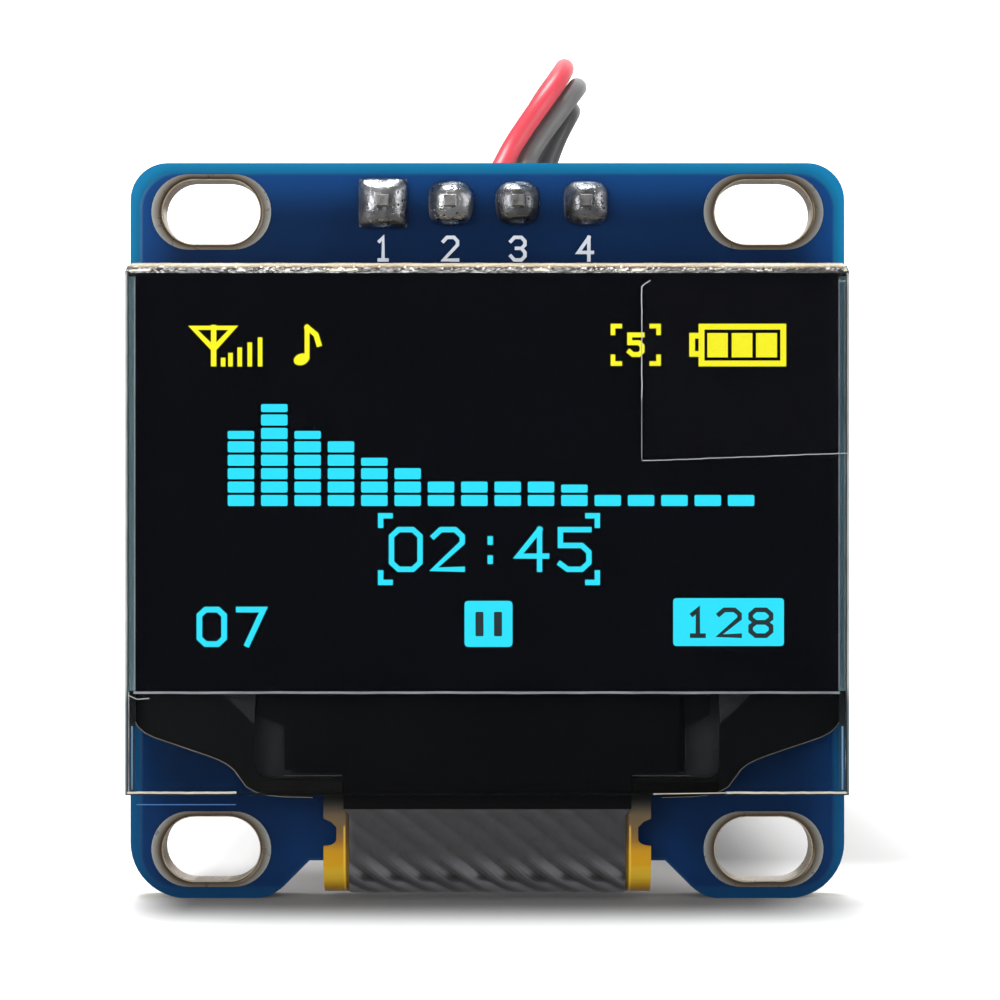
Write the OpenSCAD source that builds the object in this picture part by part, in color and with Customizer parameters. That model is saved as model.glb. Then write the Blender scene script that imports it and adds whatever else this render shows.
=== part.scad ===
// Small graphic display module: a blue circuit board with four plated mounting slots, a bonded glass
// display panel on its front, a flexible circuit folded round the notch in its lower edge, surface-mount
// parts and a four-pin header on its back, and four plugged leads.
// +X is to the right, +Z is up and the display looks along -Y. The origin is the centre of the four
// mounting slots, on the board's front face. Units are millimetres.

/* [Board] */
// Width of the board
board_w = 26.9; // [26.6:0.1:28]
// Height of the board
board_h = 27.7; // [27.6:0.1:28.6]
// Thickness of the board
board_t = 1.2; // [1:0.05:1.25]
// Radius of the two upper corners
board_top_r = 1.4; // [0.8:0.1:1.6]
// Radius of the two lower corners
board_low_r = 2.1; // [1.2:0.1:2.4]
// Height of the notch that the flexible circuit folds round
notch_h = 1.42; // [1.36:0.02:1.5]
// Width of the notch at its inner edge
notch_w = 13.4; // [13:0.1:14]

/* [Mounting slots] */
// Distance between slot centres along X
slot_dx = 20.8; // [20.4:0.1:21]
// Distance between slot centres along Z
slot_dz = 24.0; // [23.8:0.1:24.2]
// Width of the plated slot
slot_w = 2.4; // [2.2:0.1:2.5]
// Length of the plated slot, end to end
slot_l = 3.65; // [3.2:0.05:3.8]
// Width of the copper land round the slot at its long sides
land_side = 0.22; // [0.18:0.01:0.3]
// Width of the copper land round the slot at its ends
land_end = 0.43; // [0.25:0.01:0.45]

/* [Header] */
// Side of the square pins
pin_a = 0.64; // [0.6:0.01:0.64]
// Length of the pins behind the spacer
pin_reach = 6; // [5.5:0.1:6.2]
// Height of the solder joints in front of the board
solder_h = 0.74; // [0.6:0.02:0.8]

/* [Display panel] */
// Width of the glass
glass_w = 26.72; // [26.6:0.02:26.8]
// Height of the front glass's face
glass_h = 19.26; // [19.1:0.02:19.4]
// Thickness of the front glass
front_t = 0.7; // [0.5:0.05:0.8]
// Thickness of the rear cap glass
cap_t = 0.5; // [0.4:0.05:0.6]
// Thickness of the foam mounting tape
foam_t = 0.5; // [0.4:0.05:0.6]
// Width of the polarising film
film_w = 25.9; // [25.6:0.05:26.2]
// Height of the polarising film
film_h = 15.35; // [15:0.05:15.4]
// Thickness of the polarising film
film_t = 0.18; // [0.12:0.02:0.22]

/* [Flexible circuit] */
// Thickness of the flexible circuit
flex_t = 0.1; // [0.08:0.01:0.12]
// Width of its neck, where it folds
neck_w = 12.2; // [12:0.05:12.4]
// Width of the dark cover layer on the neck
cover_w = 10.3; // [10:0.05:10.4]
// Number of soldered contacts at its tail
contacts = 30; // [26:2:30]

/* [Leads] */
// Diameter of the leads over their insulation
lead_d = 1.0; // [0.9:0.02:1]
// Length of a lead's plug housing
plug_l = 14; // [13.8:0.1:14]
// Width and height of a plug housing
plug_a = 2.5; // [2.4:0.02:2.52]

/* [Hidden] */
PINS = [1, 2, 3, 4];
SLOTS = ["tl", "tr", "bl", "br"];
$fn = 48;
eps = 0.01;

// Faces one behind another, from the board's front face forwards.
foam_y = -foam_t;
cap_y = foam_y - cap_t;
seal_t = 0.05;
glass_back_y = cap_y - seal_t;
glass_front_y = glass_back_y - front_t;
film_y = glass_front_y - film_t;
peel_t = 0.05;
peel_y = film_y - peel_t;
tab_t = 0.04;

// Edges of the panel's layers along Z.
glass_low = -9.75;
glass_top = glass_low + glass_h;
bevel_h = 0.36;
film_top = glass_top - 0.06;
film_low = film_top - film_h;
cap_low = -6.0;
seal_rim = 1.0;

// The board's lower edge, and the surface that it and the leads stand on.
base_z = -board_h / 2;
notch_z = base_z + notch_h;

// The flexible circuit: its front run hangs behind the front glass, and its tail lies on the board's back.
bond_t = 0.06;
flex_front_y = glass_back_y + bond_t;
flex_back_y = flex_front_y + flex_t;
fold_in_r = (board_t - flex_back_y) / 2;
fold_y = (board_t + flex_back_y) / 2;
fold_z = notch_z - 0.02;
cover_t = 0.05;
cover_top = -10.35;
tail_top = -6.2;
tail_w = 19.4;
contact_pitch = 0.62;

// The driver chip on the ledge, its block of resin, and the window in the flexible circuit round them.
block_w = 14.7;
block_low = -9.0;
window_w = 17.3;
window_low = -9.2;
chip_w = 6.8;
chip_z = -6.9;
chip_h = 0.9;
chip_t = 0.3;
tape_w = 10.7;

// The slots' plated lining: its wall, and the radius of the rolled lip at each of its mouths.
sleeve_t = 0.16;
lip_r = 0.15;

// Header and plugs.
pitch = 2.54;
header_x = -0.12;
header_z = 12.34;
pad_t = 0.05;
pad_a = 1.8;
round_pad_d = 1.64;
pin_hole_r = 0.5;
barrel_t = 0.05;
spacer_l = 2.54;
spacer_back_y = board_t + spacer_l;
pin_front_y = -solder_h - 0.16;
pin_back_y = spacer_back_y + pin_reach;
plug_y = 3.8;
contact_l = 9.7;
contact_a = 1.5;
far_x = [-4.8, -1.6, 1.6, 4.8];
far_y = [11, 9.5, 6.5, 5];
far_z = base_z + plug_a / 2;

// The leads' centrelines, from the crimp in the plug on the header to the crimp in the far plug.
lead_1_route = [
    [-3.93, 13.5, 12.34], [-3.93, 18.4, 12.34], [-3.7, 20.46, 12.85], [-2.58, 22.47, 13.89],
    [-1.1, 24.06, 15.22], [0.18, 25.56, 16.83], [1.07, 27.07, 18.67], [2.37, 27.77, 20.72],
    [3.42, 29.27, 22.43], [3.8, 31.56, 23.45], [3.37, 34.12, 23.22], [2.21, 35.75, 21.68],
    [1.27, 35.78, 19.3], [0.16, 35.72, 17.01], [-1.13, 35.81, 14.82], [-2.39, 35.95, 12.61],
    [-3.35, 36.02, 10.25], [-3.96, 35.98, 7.78], [-4.33, 35.8, 5.27], [-4.56, 35.49, 2.75],
    [-4.73, 35.04, 0.25], [-4.85, 34.46, -2.23], [-4.92, 33.76, -4.68], [-4.93, 32.89, -7.07],
    [-4.91, 31.68, -9.31], [-4.85, 30.02, -11.24], [-4.8, 27.84, -12.52], [-4.8, 26, -12.6],
    [-4.8, 20.7, -12.6]
];
lead_2_route = [
    [-1.39, 13.5, 12.34], [-1.39, 18.4, 12.34], [-1.39, 20.41, 12.33], [-1.39, 22.45, 12.29],
    [-1.42, 24.49, 12.18], [-1.54, 26.51, 11.91], [-1.84, 28.47, 11.41], [-2.42, 30.28, 10.66],
    [-3.33, 31.81, 9.67], [-4.41, 33.17, 8.59], [-5.51, 34.5, 7.49], [-6.56, 35.82, 6.32],
    [-7.49, 37.05, 4.99], [-8.25, 38.13, 3.43], [-8.77, 39, 1.66], [-9, 39.55, -0.29],
    [-8.84, 39.69, -2.32], [-8.33, 39.46, -4.28], [-7.55, 38.96, -6.1], [-6.54, 38.25, -7.73],
    [-5.44, 37.29, -9.16], [-4.37, 36.05, -10.38], [-3.44, 34.54, -11.39], [-2.67, 32.8, -12.14],
    [-2.12, 30.89, -12.59], [-1.77, 28.88, -12.78], [-1.62, 26.85, -12.78], [-1.6, 25, -12.6],
    [-1.6, 19.2, -12.6]
];
lead_3_route = [
    [1.15, 13.5, 12.34], [1.15, 18.4, 12.34], [1.15, 20.49, 12.56], [1.27, 22.73, 13.45],
    [1.43, 24.63, 14.95], [1.54, 26.34, 16.68], [1.96, 27.93, 18.46], [3.19, 28.68, 20.38],
    [4.19, 30.2, 21.93], [4.43, 32.49, 22.56], [3.65, 34.59, 21.81], [2.53, 35.25, 19.83],
    [1.83, 35.06, 17.51], [1.4, 34.89, 15.13], [1.22, 34.76, 12.71], [1.22, 34.64, 10.28],
    [1.34, 34.51, 7.85], [1.5, 34.31, 5.43], [1.62, 34.04, 3.02], [1.65, 33.63, 0.62], [1.63, 33.08, -1.74],
    [1.6, 32.34, -4.06], [1.59, 31.39, -6.29], [1.6, 30.15, -8.38], [1.6, 28.58, -10.24],
    [1.6, 26.67, -11.73], [1.6, 24.42, -12.62], [1.6, 22.6, -12.6], [1.6, 16.2, -12.6]
];
lead_4_route = [
    [3.69, 13.5, 12.34], [3.69, 18.4, 12.34], [3.65, 20.5, 12.54], [3.58, 22.71, 13.24],
    [3.39, 24.71, 14.38], [2.97, 26.64, 15.59], [2.59, 28.44, 16.98], [3.1, 29.42, 18.97],
    [3.93, 30.56, 20.72], [4.09, 32.73, 21.27], [3.37, 34.25, 19.93], [2.74, 34.25, 17.77],
    [2.74, 34.02, 15.49], [3.23, 33.71, 13.24], [3.82, 33.45, 11.01], [4.27, 33.25, 8.75],
    [4.57, 33.07, 6.46], [4.76, 32.87, 4.16], [4.87, 32.6, 1.85], [4.91, 32.24, -0.44], [4.91, 31.74, -2.7],
    [4.88, 31.07, -4.92], [4.84, 30.16, -7.05], [4.81, 28.95, -9.02], [4.79, 27.38, -10.72],
    [4.8, 25.46, -12.01], [4.8, 23.25, -12.7], [4.8, 21.4, -12.6], [4.8, 14.7, -12.6]
];
lead_routes = [lead_1_route, lead_2_route, lead_3_route, lead_4_route];
lead_colours = ["firebrick", "#2a2a2c", "dimgray", "#2a2a2c"];

// Parts on the board's back: where they stand, chip parts as [x, z, lies along X], and their sizes.
regulator_at = [-8.4, 6.6];
diode_at = [8.8, 5.4];
cap_spots = [
    [-8.6, -3, false], [-6.5, -3, false], [-4.4, -3, false], [-2.3, -3, false],
    [2.1, -3, false], [4.2, -3, false], [-8.4, 10, true], [-8.4, 3.4, true]
];
resistor_spots = [
    [-0.1, -3, false], [6.3, -3, false], [8.5, -3, false],
    [-3.6, 8.4, false], [-1.2, 8.4, false], [4.6, 8.2, true], [3.4, 3.6, true]
];
chip_part_l = 1.6;
chip_part_w = 0.8;
terminal_l = 0.3;
cap_high = 0.8;
resistor_high = 0.45;

// ---- Helpers ----

// Gives a flat outline, drawn with Z upwards, its depth t from y towards the back.
module slab(y, t) {
    translate([0, y + t, 0])
        rotate([90, 0, 0])
            linear_extrude(height = t)
                children();
}

// A flat shape and its mirror image across the middle.
module both_sides() {
    children();
    mirror([1, 0]) children();
}

// A long round-ended slot outline of the given overall length and width.
module stadium(length, width) {
    run = length - width;
    square([run, width], center = true);
    for (side = [-1, 1])
        translate([side * run / 2, 0]) circle(d = width);
}

// A rectangle whose corners are rounded to radius r, from its low corner.
module round_rect(low, size, r) {
    translate([low[0] + r, low[1]]) square([size[0] - 2 * r, size[1]]);
    translate([low[0], low[1] + r]) square([size[0], size[1] - 2 * r]);
    for (x = [low[0] + r, low[0] + size[0] - r], z = [low[1] + r, low[1] + size[1] - r])
        translate([x, z]) circle(r = r);
}

// Points of a smooth bend from a to c that leans towards b.
function bend(a, b, c, steps = 6) = [
    for (i = [0 : steps]) let (t = i / steps)
        (1 - t) * (1 - t) * a + 2 * t * (1 - t) * b + t * t * c
];

// Moves to where pin i stands in the header's row.
module at_pin(i) {
    translate([header_x + (i - 2.5) * pitch, 0, header_z]) children();
}

// Moves to the centre of slot number s, counted from the upper left.
module at_slot(s) {
    translate([(s % 2 - 0.5) * slot_dx, 0, (s < 2 ? 0.5 : -0.5) * slot_dz]) children();
}

// ---- Board ----

module board_outline() {
    translate([-board_w / 2, base_z + board_low_r]) square([board_w, board_h - board_low_r - board_top_r]);
    translate([-board_w / 2 + board_top_r, 0]) square([board_w - 2 * board_top_r, board_h / 2]);
    translate([-board_w / 2 + board_low_r, base_z]) square([board_w - 2 * board_low_r, board_h / 2]);
    both_sides() {
        translate([board_w / 2 - board_top_r, board_h / 2 - board_top_r]) circle(r = board_top_r);
        translate([board_w / 2 - board_low_r, base_z + board_low_r]) circle(r = board_low_r);
    }
}

// The notch, with sides at 45 degrees that round off into the feet beside it.
module notch_outline() {
    foot_r = 1.6;
    mouth = notch_w / 2 + notch_h;
    tangent = foot_r * tan(22.5);
    both_sides() {
        polygon([[-eps, notch_z], [notch_w / 2, notch_z], [mouth, base_z], [-eps, base_z - 1]]);
        polygon([[0, base_z], [mouth, base_z], [mouth, base_z - 1], [0, base_z - 1]]);
        difference() {
            polygon([
                [mouth - tangent * cos(45), base_z + tangent * sin(45)],
                [mouth + tangent, base_z],
                [mouth + tangent, base_z - 1],
                [mouth - tangent, base_z - 1]
            ]);
            translate([mouth + tangent, base_z + foot_r]) circle(r = foot_r);
        }
    }
}

module pcb() {
    color("#12356a")
        difference() {
            slab(0, board_t) difference() {
                board_outline();
                notch_outline();
            }
            for (s = [0 : 3]) at_slot(s)
                slab(-1, board_t + 2) stadium(slot_l + 2 * sleeve_t, slot_w + 2 * sleeve_t);
            for (i = PINS) at_pin(i)
                slab(-1, board_t + 2) circle(r = pin_hole_r + barrel_t);
        }
}

// The corner that a rolled lip leaves out: x is the distance from the slot's wall, y the depth.
module lip_profile() {
    difference() {
        translate([-eps, -eps]) square(lip_r + eps);
        translate([lip_r, lip_r]) circle(r = lip_r);
    }
}

// That corner carried round the mouth of a slot whose land's face is at y = 0.
module lip_cut() {
    run = slot_l - slot_w;
    for (side = [0, 1]) mirror([side, 0, 0]) {
        translate([run / 2, 0, 0]) rotate([-90, 0, 0])
            rotate_extrude(angle = 180, start = -90) translate([slot_w / 2, 0]) lip_profile();
        mirror([0, 0, side]) translate([run / 2, 0, slot_w / 2])
            rotate([90, 0, -90]) linear_extrude(height = run) rotate(90) lip_profile();
    }
}

// The plated lining of slot s: a sleeve through the board and a copper land on each face.
module slot_plating(s) {
    land_l = slot_l + 2 * land_end;
    land_w = slot_w + 2 * land_side;
    color("#c9c2b2")
        at_slot(s) difference() {
            union() {
                slab(0, board_t) stadium(slot_l + 2 * sleeve_t, slot_w + 2 * sleeve_t);
                for (y = [-pad_t, board_t])
                    slab(y, pad_t) stadium(land_l, land_w);
            }
            slab(-1, board_t + 2) stadium(slot_l, slot_w);
            translate([0, -pad_t, 0]) lip_cut();
            translate([0, board_t + pad_t, 0]) mirror([0, 1, 0]) lip_cut();
        }
}

// ---- Header ----

module pad_outline(i) {
    if (i == 1) square(pad_a, center = true);
    else circle(d = round_pad_d);
}

module header_pads() {
    color("#c9c2b2")
        for (i = PINS) at_pin(i) difference() {
            union() {
                slab(0, board_t) circle(r = pin_hole_r + barrel_t);
                slab(-pad_t, pad_t) pad_outline(i);
            }
            slab(-1, board_t + 2) circle(r = pin_hole_r);
        }
}

// The insulating bar: a row of cubes with notched corners where it can be snapped.
module header_spacer() {
    corner = 0.45;
    high = 2.5;
    color("#1c1c1e")
        difference() {
            for (i = PINS) at_pin(i)
                slab(board_t, spacer_l) polygon([
                    [-pitch / 2, corner - high / 2], [corner - pitch / 2, -high / 2],
                    [pitch / 2 - corner, -high / 2], [pitch / 2, corner - high / 2],
                    [pitch / 2, high / 2 - corner], [pitch / 2 - corner, high / 2],
                    [corner - pitch / 2, high / 2], [-pitch / 2, high / 2 - corner]
                ]);
            for (i = PINS) at_pin(i)
                slab(0, 2 * spacer_l) square(pin_a, center = true);
        }
}

// A square pin whose two ends are swaged to blunt points.
module header_pin(i) {
    tip = 0.35;
    half = pin_a / 2;
    blunt = 0.6 * half;
    side = [
        [pin_front_y, -blunt], [pin_front_y + tip, -half], [pin_back_y - tip, -half], [pin_back_y, -blunt],
        [pin_back_y, blunt], [pin_back_y - tip, half], [pin_front_y + tip, half], [pin_front_y, blunt]
    ];
    color("#d8c690")
        at_pin(i) intersection() {
            rotate([90, 0, 90]) linear_extrude(height = pin_a, center = true) polygon(side);
            rotate([0, 0, 90]) linear_extrude(height = pin_a, center = true) polygon(side);
        }
}

// Solder that fills the plated hole and rises round the pin in a waisted cone.
module solder_joint(i) {
    foot = i == 1 ? pad_a / 2 + 0.33 : round_pad_d / 2;
    profile = concat(
        [[0, board_t], [pin_hole_r, board_t], [pin_hole_r, -pad_t], [foot, -pad_t]],
        bend([foot, -pad_t - 0.06], [0.55 * foot, -0.3 * solder_h], [0.5 * foot, -0.72 * solder_h]),
        bend([0.46 * foot, -0.8 * solder_h], [0.4 * foot, -solder_h], [0.2, -solder_h], 4),
        [[0, -solder_h]]
    );
    color("#b9babd")
        at_pin(i) difference() {
            intersection() {
                rotate([-90, 0, 0]) rotate_extrude() polygon(profile);
                slab(-2, 5) square(pad_a, center = true);
            }
            slab(-2, 5) square(pin_a, center = true);
        }
}

// ---- Display panel ----

module panel_rect(low, high, w) {
    translate([-w / 2, low]) square([w, high - low]);
}

// Black foam tape between the panel and the board, with a tongue behind the chip.
module foam_tape() {
    tongue_w = 17.8;
    tongue_low = -9.3;
    color("#303134")
        slab(foam_y, foam_t) {
            panel_rect(cap_low + 0.1, glass_top - 0.3, glass_w - 0.8);
            panel_rect(tongue_low, 0, tongue_w);
        }
}

module cap_glass() {
    color("#8fb0a8", 0.5)
        slab(cap_y, cap_t) panel_rect(cap_low, glass_top, glass_w);
}

// The sealing frame that joins the two glasses round their edge.
module edge_seal() {
    color("#8a8468")
        slab(glass_back_y, seal_t) difference() {
            panel_rect(cap_low, glass_top, glass_w);
            panel_rect(cap_low + seal_rim, glass_top - seal_rim, glass_w - 2 * seal_rim);
        }
}

// The light-emitting matrix on the back of the front glass.
module emitter_layer() {
    color("#101114")
        slab(glass_back_y, 0.03) panel_rect(film_low + 1.4, film_top - 1.3, 22.4);
}

// The front glass, whose upper edge was broken along a scored line and left sloping.
module front_glass() {
    color("#a9c6c0", 0.4)
        translate([-glass_w / 2, 0, 0])
            rotate([90, 0, 90])
                linear_extrude(height = glass_w) polygon([
                    [glass_back_y, glass_low], [glass_front_y + 0.04, glass_low],
                    [glass_front_y, glass_low + 0.04], [glass_front_y, glass_top - 0.02],
                    [glass_front_y + 0.1, glass_top + 0.14], [glass_back_y - 0.12, glass_top + bevel_h],
                    [glass_back_y, glass_top + bevel_h]
                ]);
}

module polariser() {
    color("#131418")
        slab(film_y, film_t) panel_rect(film_low, film_top, film_w);
}

// The clear film that covers the polariser until the display is fitted.
module protective_film() {
    inset = 0.03;
    color("#c8d0d4", 0.3)
        slab(peel_y, peel_t)
            round_rect([inset - film_w / 2, film_low + inset], [film_w - 2 * inset, film_h - 2 * inset], 0.2);
}

// The clear tab at the film's upper right, for peeling it off.
module film_tab() {
    tab_l = 7.7;
    tab_h = 6.5;
    corner = 0.35;
    left = glass_w / 2 - tab_l + 0.1;
    color("#dfe4e6", 0.3)
        slab(peel_y - tab_t, tab_t) round_rect([left, film_top - 0.3 - tab_h], [tab_l, tab_h], corner);
}

// ---- Chip and flexible circuit ----

module driver_chip() {
    color("#55585c")
        slab(glass_back_y, chip_t) translate([-chip_w / 2, chip_z - chip_h / 2]) square([chip_w, chip_h]);
}

// Black resin over the chip and the tracks beside it.
module chip_coating() {
    coat_t = 0.42;
    coat_h = cap_low - 0.02 - block_low;
    color("#0e0f11")
        difference() {
            slab(glass_back_y, coat_t) round_rect([-block_w / 2, block_low], [block_w, coat_h], 0.2);
            slab(glass_back_y - eps, chip_t + eps)
                translate([-chip_w / 2, chip_z - chip_h / 2]) square([chip_w, chip_h]);
        }
}

// Conductive adhesive that bonds the flexible circuit to the glass, on both sides of the black strip.
module bond_strips() {
    color("#4a4030")
        slab(glass_back_y, bond_t) both_sides()
            translate([tape_w / 2 + 0.05, glass_low]) square([3.2, 0.42]);
}

// The flexible circuit's front outline, from the middle to its right edge.
function flex_head() = concat(
    [[0, cap_low - 0.03], [13.3, cap_low - 0.03]],
    bend([13.3, -6.5], [13.2, -7.4], [12.4, -7.68]),
    bend([10.4, -8.36], [9.5, -8.66], [9.28, -9.1]),
    bend([9.2, -9.25], [8.85, -9.85], [7.6, -9.89]),
    [[6.5, -9.92]],
    bend([6.5, -9.92], [6.3, -9.6], [neck_w / 2, -9.92]),
    [[neck_w / 2, -10.72], [neck_w / 2 - 0.28, -10.84]],
    [[neck_w / 2 - 0.48, -11.04], [neck_w / 2 - 0.48, -11.46]],
    bend([neck_w / 2 - 0.48, -11.5], [neck_w / 2 - 0.44, -11.72], [neck_w / 2, -11.74]),
    [[neck_w / 2, fold_z], [0, fold_z]]
);

// The tail that is soldered to the back of the board.
function flex_tail() = [
    [0, fold_z], [neck_w / 2, fold_z], [neck_w / 2, -10.3], [neck_w / 2 + 0.25, -9.8],
    [tail_w / 2 - 0.7, -9.2], [tail_w / 2 - 0.15, -8.9], [tail_w / 2, -8.5],
    [tail_w / 2, tail_top], [0, tail_top]
];

// A band of thickness t that turns under the board's edge, with the given inner radius and width.
module fold(inner, t, w) {
    translate([0, fold_y, fold_z])
        rotate([0, 90, 0])
            rotate([0, 0, -90])
                rotate_extrude(angle = 180, $fn = 72)
                    translate([inner, -w / 2]) square([t, w]);
}

module flex_circuit() {
    color("#c79222") {
        slab(flex_front_y, flex_t) difference() {
            both_sides() polygon(flex_head());
            round_rect([-window_w / 2, window_low], [window_w, 4], 0.5);
        }
        fold(fold_in_r, flex_t, neck_w);
        slab(board_t, flex_t) both_sides() polygon(flex_tail());
    }
}

// The black strip that runs from the chip's resin out below the glass.
module flex_tape() {
    color("#17181b")
        slab(glass_back_y, bond_t) panel_rect(cover_top, block_low, tape_w);
}

// The dark cover layer over the neck's conductors, round the fold and up the back.
module flex_cover() {
    shoulder = 0.26;
    back_top = -10.6;
    color("#3c3d40") {
        slab(flex_front_y - cover_t, cover_t) both_sides() polygon([
            [0, cover_top], [tape_w / 2, cover_top], [cover_w / 2, cover_top - shoulder],
            [cover_w / 2, fold_z], [0, fold_z]
        ]);
        fold(fold_in_r + flex_t, cover_t, cover_w);
        slab(board_t + flex_t, cover_t) panel_rect(fold_z, back_top, cover_w);
    }
}

// A row of solder fillets that join the tail's contacts to the board.
module flex_solder() {
    joint_l = 1.5;
    joint_r = 0.22;
    lap = 0.55;
    color("#b9babd")
        for (i = [0 : contacts - 1])
            translate([(i - (contacts - 1) / 2) * contact_pitch, board_t, tail_top - lap])
                difference() {
                    cylinder(h = joint_l, r = joint_r);
                    translate([-1, -1, -1]) cube([2, 1, 4]);
                    translate([-1, -1, -1]) cube([2, 1 + flex_t, 1 + lap]);
                }
}

// ---- Parts on the back ----

// Draws a side profile, given as [height off the board, distance along], across a width w.
module across(w) {
    rotate([90, 0, 90])
        linear_extrude(height = w, center = true)
            children();
}

// Moves to a part's place on the board's back, turned so that it runs along Z, or along X if flat.
module on_back(x, z, flat = false) {
    translate([x, board_t, z]) rotate([0, flat ? 90 : 0, 0]) children();
}

// A bent lead that leaves a moulded body at distance out and stands on the board.
module gull_lead(w, out) {
    t = 0.12;
    high = 0.5;
    across(w) polygon([
        [high + t / 2, out], [high + t / 2, out + 0.33], [t, out + 0.43], [t, out + 0.68],
        [0, out + 0.68], [0, out + 0.33], [high - t / 2, out + 0.21], [high - t / 2, out]
    ]);
}

// A moulded body with drafted sides, half as long as out along Z, and w wide along X.
module moulded_body(w, out, high) {
    across(w) polygon([
        [0.1, -out + 0.06], [0.4, -out], [0.6, -out], [high, -out + 0.1],
        [high, out - 0.1], [0.6, out], [0.4, out], [0.1, out - 0.06]
    ]);
}

module regulator_body() {
    color("#1d1d1f") on_back(regulator_at[0], regulator_at[1]) moulded_body(2.9, 0.65, 1.1);
}

module regulator_leads() {
    spread = 0.95;
    color("#c3c4c6")
        on_back(regulator_at[0], regulator_at[1]) {
            gull_lead(0.42, 0.65);
            for (side = [-1, 1]) translate([side * spread, 0, 0])
                mirror([0, 0, 1]) gull_lead(0.42, 0.65);
        }
}

module diode_body() {
    color("#222224") on_back(diode_at[0], diode_at[1]) moulded_body(1.25, 0.85, 0.95);
}

module diode_leads() {
    color("#c3c4c6")
        on_back(diode_at[0], diode_at[1])
            for (side = [0, 1]) mirror([0, 0, side]) gull_lead(0.35, 0.85);
}

// The body of a chip part between its tinned ends.
module chip_body(high) {
    run = chip_part_l / 2 - terminal_l;
    across(chip_part_w - 0.04) polygon([[0.03, -run], [high - 0.02, -run], [high - 0.02, run], [0.03, run]]);
}

// A chip part's two tinned ends with the solder that runs down from each to its land.
module chip_ends(high) {
    run = chip_part_l / 2 - terminal_l;
    end = chip_part_l / 2;
    for (side = [0, 1]) mirror([0, 0, side])
        across(chip_part_w) polygon(concat(
            [[0, run], [high, run], [high, end - 0.04], [high - 0.04, end]],
            bend([0.7 * high, end + 0.01], [0.1, end + 0.05], [0, end + 0.38], 4)
        ));
}

module capacitors() {
    color("#a8895c") for (s = cap_spots) on_back(s[0], s[1], s[2]) chip_body(cap_high);
}

module resistors() {
    color("#1b1b1d") for (s = resistor_spots) on_back(s[0], s[1], s[2]) chip_body(resistor_high);
}

module chip_terminals() {
    color("#c3c4c6") {
        for (s = cap_spots) on_back(s[0], s[1], s[2]) chip_ends(cap_high);
        for (s = resistor_spots) on_back(s[0], s[1], s[2]) chip_ends(resistor_high);
    }
}

// ---- Leads ----

// A plug housing with its socket at y = 0, a cavity for the contact and a latch window on top.
module plug_housing() {
    edge = 0.15;
    half = plug_a / 2;
    cavity = contact_a + 0.1;
    window = [1.4, 3.6];
    window_y = 3.6;
    color("#1d1d1f")
        difference() {
            slab(0, plug_l) polygon([
                [edge - half, -half], [half - edge, -half], [half, edge - half], [half, half - edge],
                [half - edge, half], [edge - half, half], [-half, half - edge], [-half, edge - half]
            ]);
            slab(-1, 3) square(pin_a + 0.3, center = true);
            slab(0.6, plug_l) square(cavity, center = true);
            translate([-window[0] / 2, window_y, 0]) difference() {
                cube([window[0], window[1], half + 1]);
                translate([0.3, 0.7, 0]) cube([window[0] - 0.6, window[1], half - 0.12]);
            }
        }
}

// The crimped contact: a square socket for the pin and a barrel closed round the conductor.
module crimp_contact() {
    box_l = 5;
    neck_l = 1;
    wall = 0.25;
    color("#cfc9b4") {
        difference() {
            slab(0.7, box_l) square(contact_a, center = true);
            slab(0, box_l + 2) square(pin_a + 0.1, center = true);
        }
        translate([-contact_a / 2, 0.7 + box_l, -contact_a / 2]) cube([contact_a, neck_l, wall]);
        translate([0, 0.7 + box_l + neck_l, 0])
            rotate([-90, 0, 0]) cylinder(h = contact_l - box_l - neck_l - 0.7, d = contact_a);
    }
}

module at_far_plug(i) {
    translate([far_x[i - 1], far_y[i - 1], far_z]) children();
}

// A unit vector along v.
function unit(v) = v / norm(v);

// The direction of route r at point i.
function heading(r, i) = unit(r[min(i + 1, len(r) - 1)] - r[max(i - 1, 0)]);

// Points round a tube of radius radius, one ring of sides points at each point of route r.
function tube_points(r, radius, sides) = [
    for (i = [0 : len(r) - 1])
        let (u = unit(cross(heading(r, i), [1, 0, 0])), v = cross(heading(r, i), u))
            for (k = [0 : sides - 1]) let (a = 360 * (k + 0.5) / sides)
                r[i] + radius * (cos(a) * u + sin(a) * v)
];

// Faces of that tube: a cap at each end and two triangles for each side of each stretch.
function tube_faces(rings, sides) = concat(
    [[for (k = [0 : sides - 1]) k]],
    [[for (k = [sides - 1 : -1 : 0]) (rings - 1) * sides + k]],
    [for (i = [0 : rings - 2], k = [0 : sides - 1]) let (n = (k + 1) % sides)
        [i * sides + k, (i + 1) * sides + k, (i + 1) * sides + n]],
    [for (i = [0 : rings - 2], k = [0 : sides - 1]) let (n = (k + 1) % sides)
        [i * sides + k, (i + 1) * sides + n, i * sides + n]]
);

module lead(i) {
    sides = 8;
    route = lead_routes[i - 1];
    color(lead_colours[i - 1])
        polyhedron(
            points = tube_points(route, lead_d / 2, sides),
            faces = tube_faces(len(route), sides),
            convexity = 6
        );
}

// ---- Assembly ----

pcb();
for (s = [0 : 3])
    slot_plating(s);
header_pads();
header_spacer();
for (i = PINS) {
    header_pin(i);
    solder_joint(i);
}
foam_tape();
cap_glass();
edge_seal();
emitter_layer();
front_glass();
polariser();
protective_film();
film_tab();
driver_chip();
chip_coating();
bond_strips();
flex_circuit();
flex_tape();
flex_cover();
flex_solder();
regulator_body();
regulator_leads();
diode_body();
diode_leads();
capacitors();
resistors();
chip_terminals();
for (i = PINS) {
    at_pin(i) translate([0, plug_y, 0]) plug_housing();
    at_pin(i) translate([0, plug_y, 0]) crimp_contact();
    lead(i);
    at_far_plug(i) plug_housing();
    at_far_plug(i) crimp_contact();
}
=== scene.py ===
import math

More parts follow.
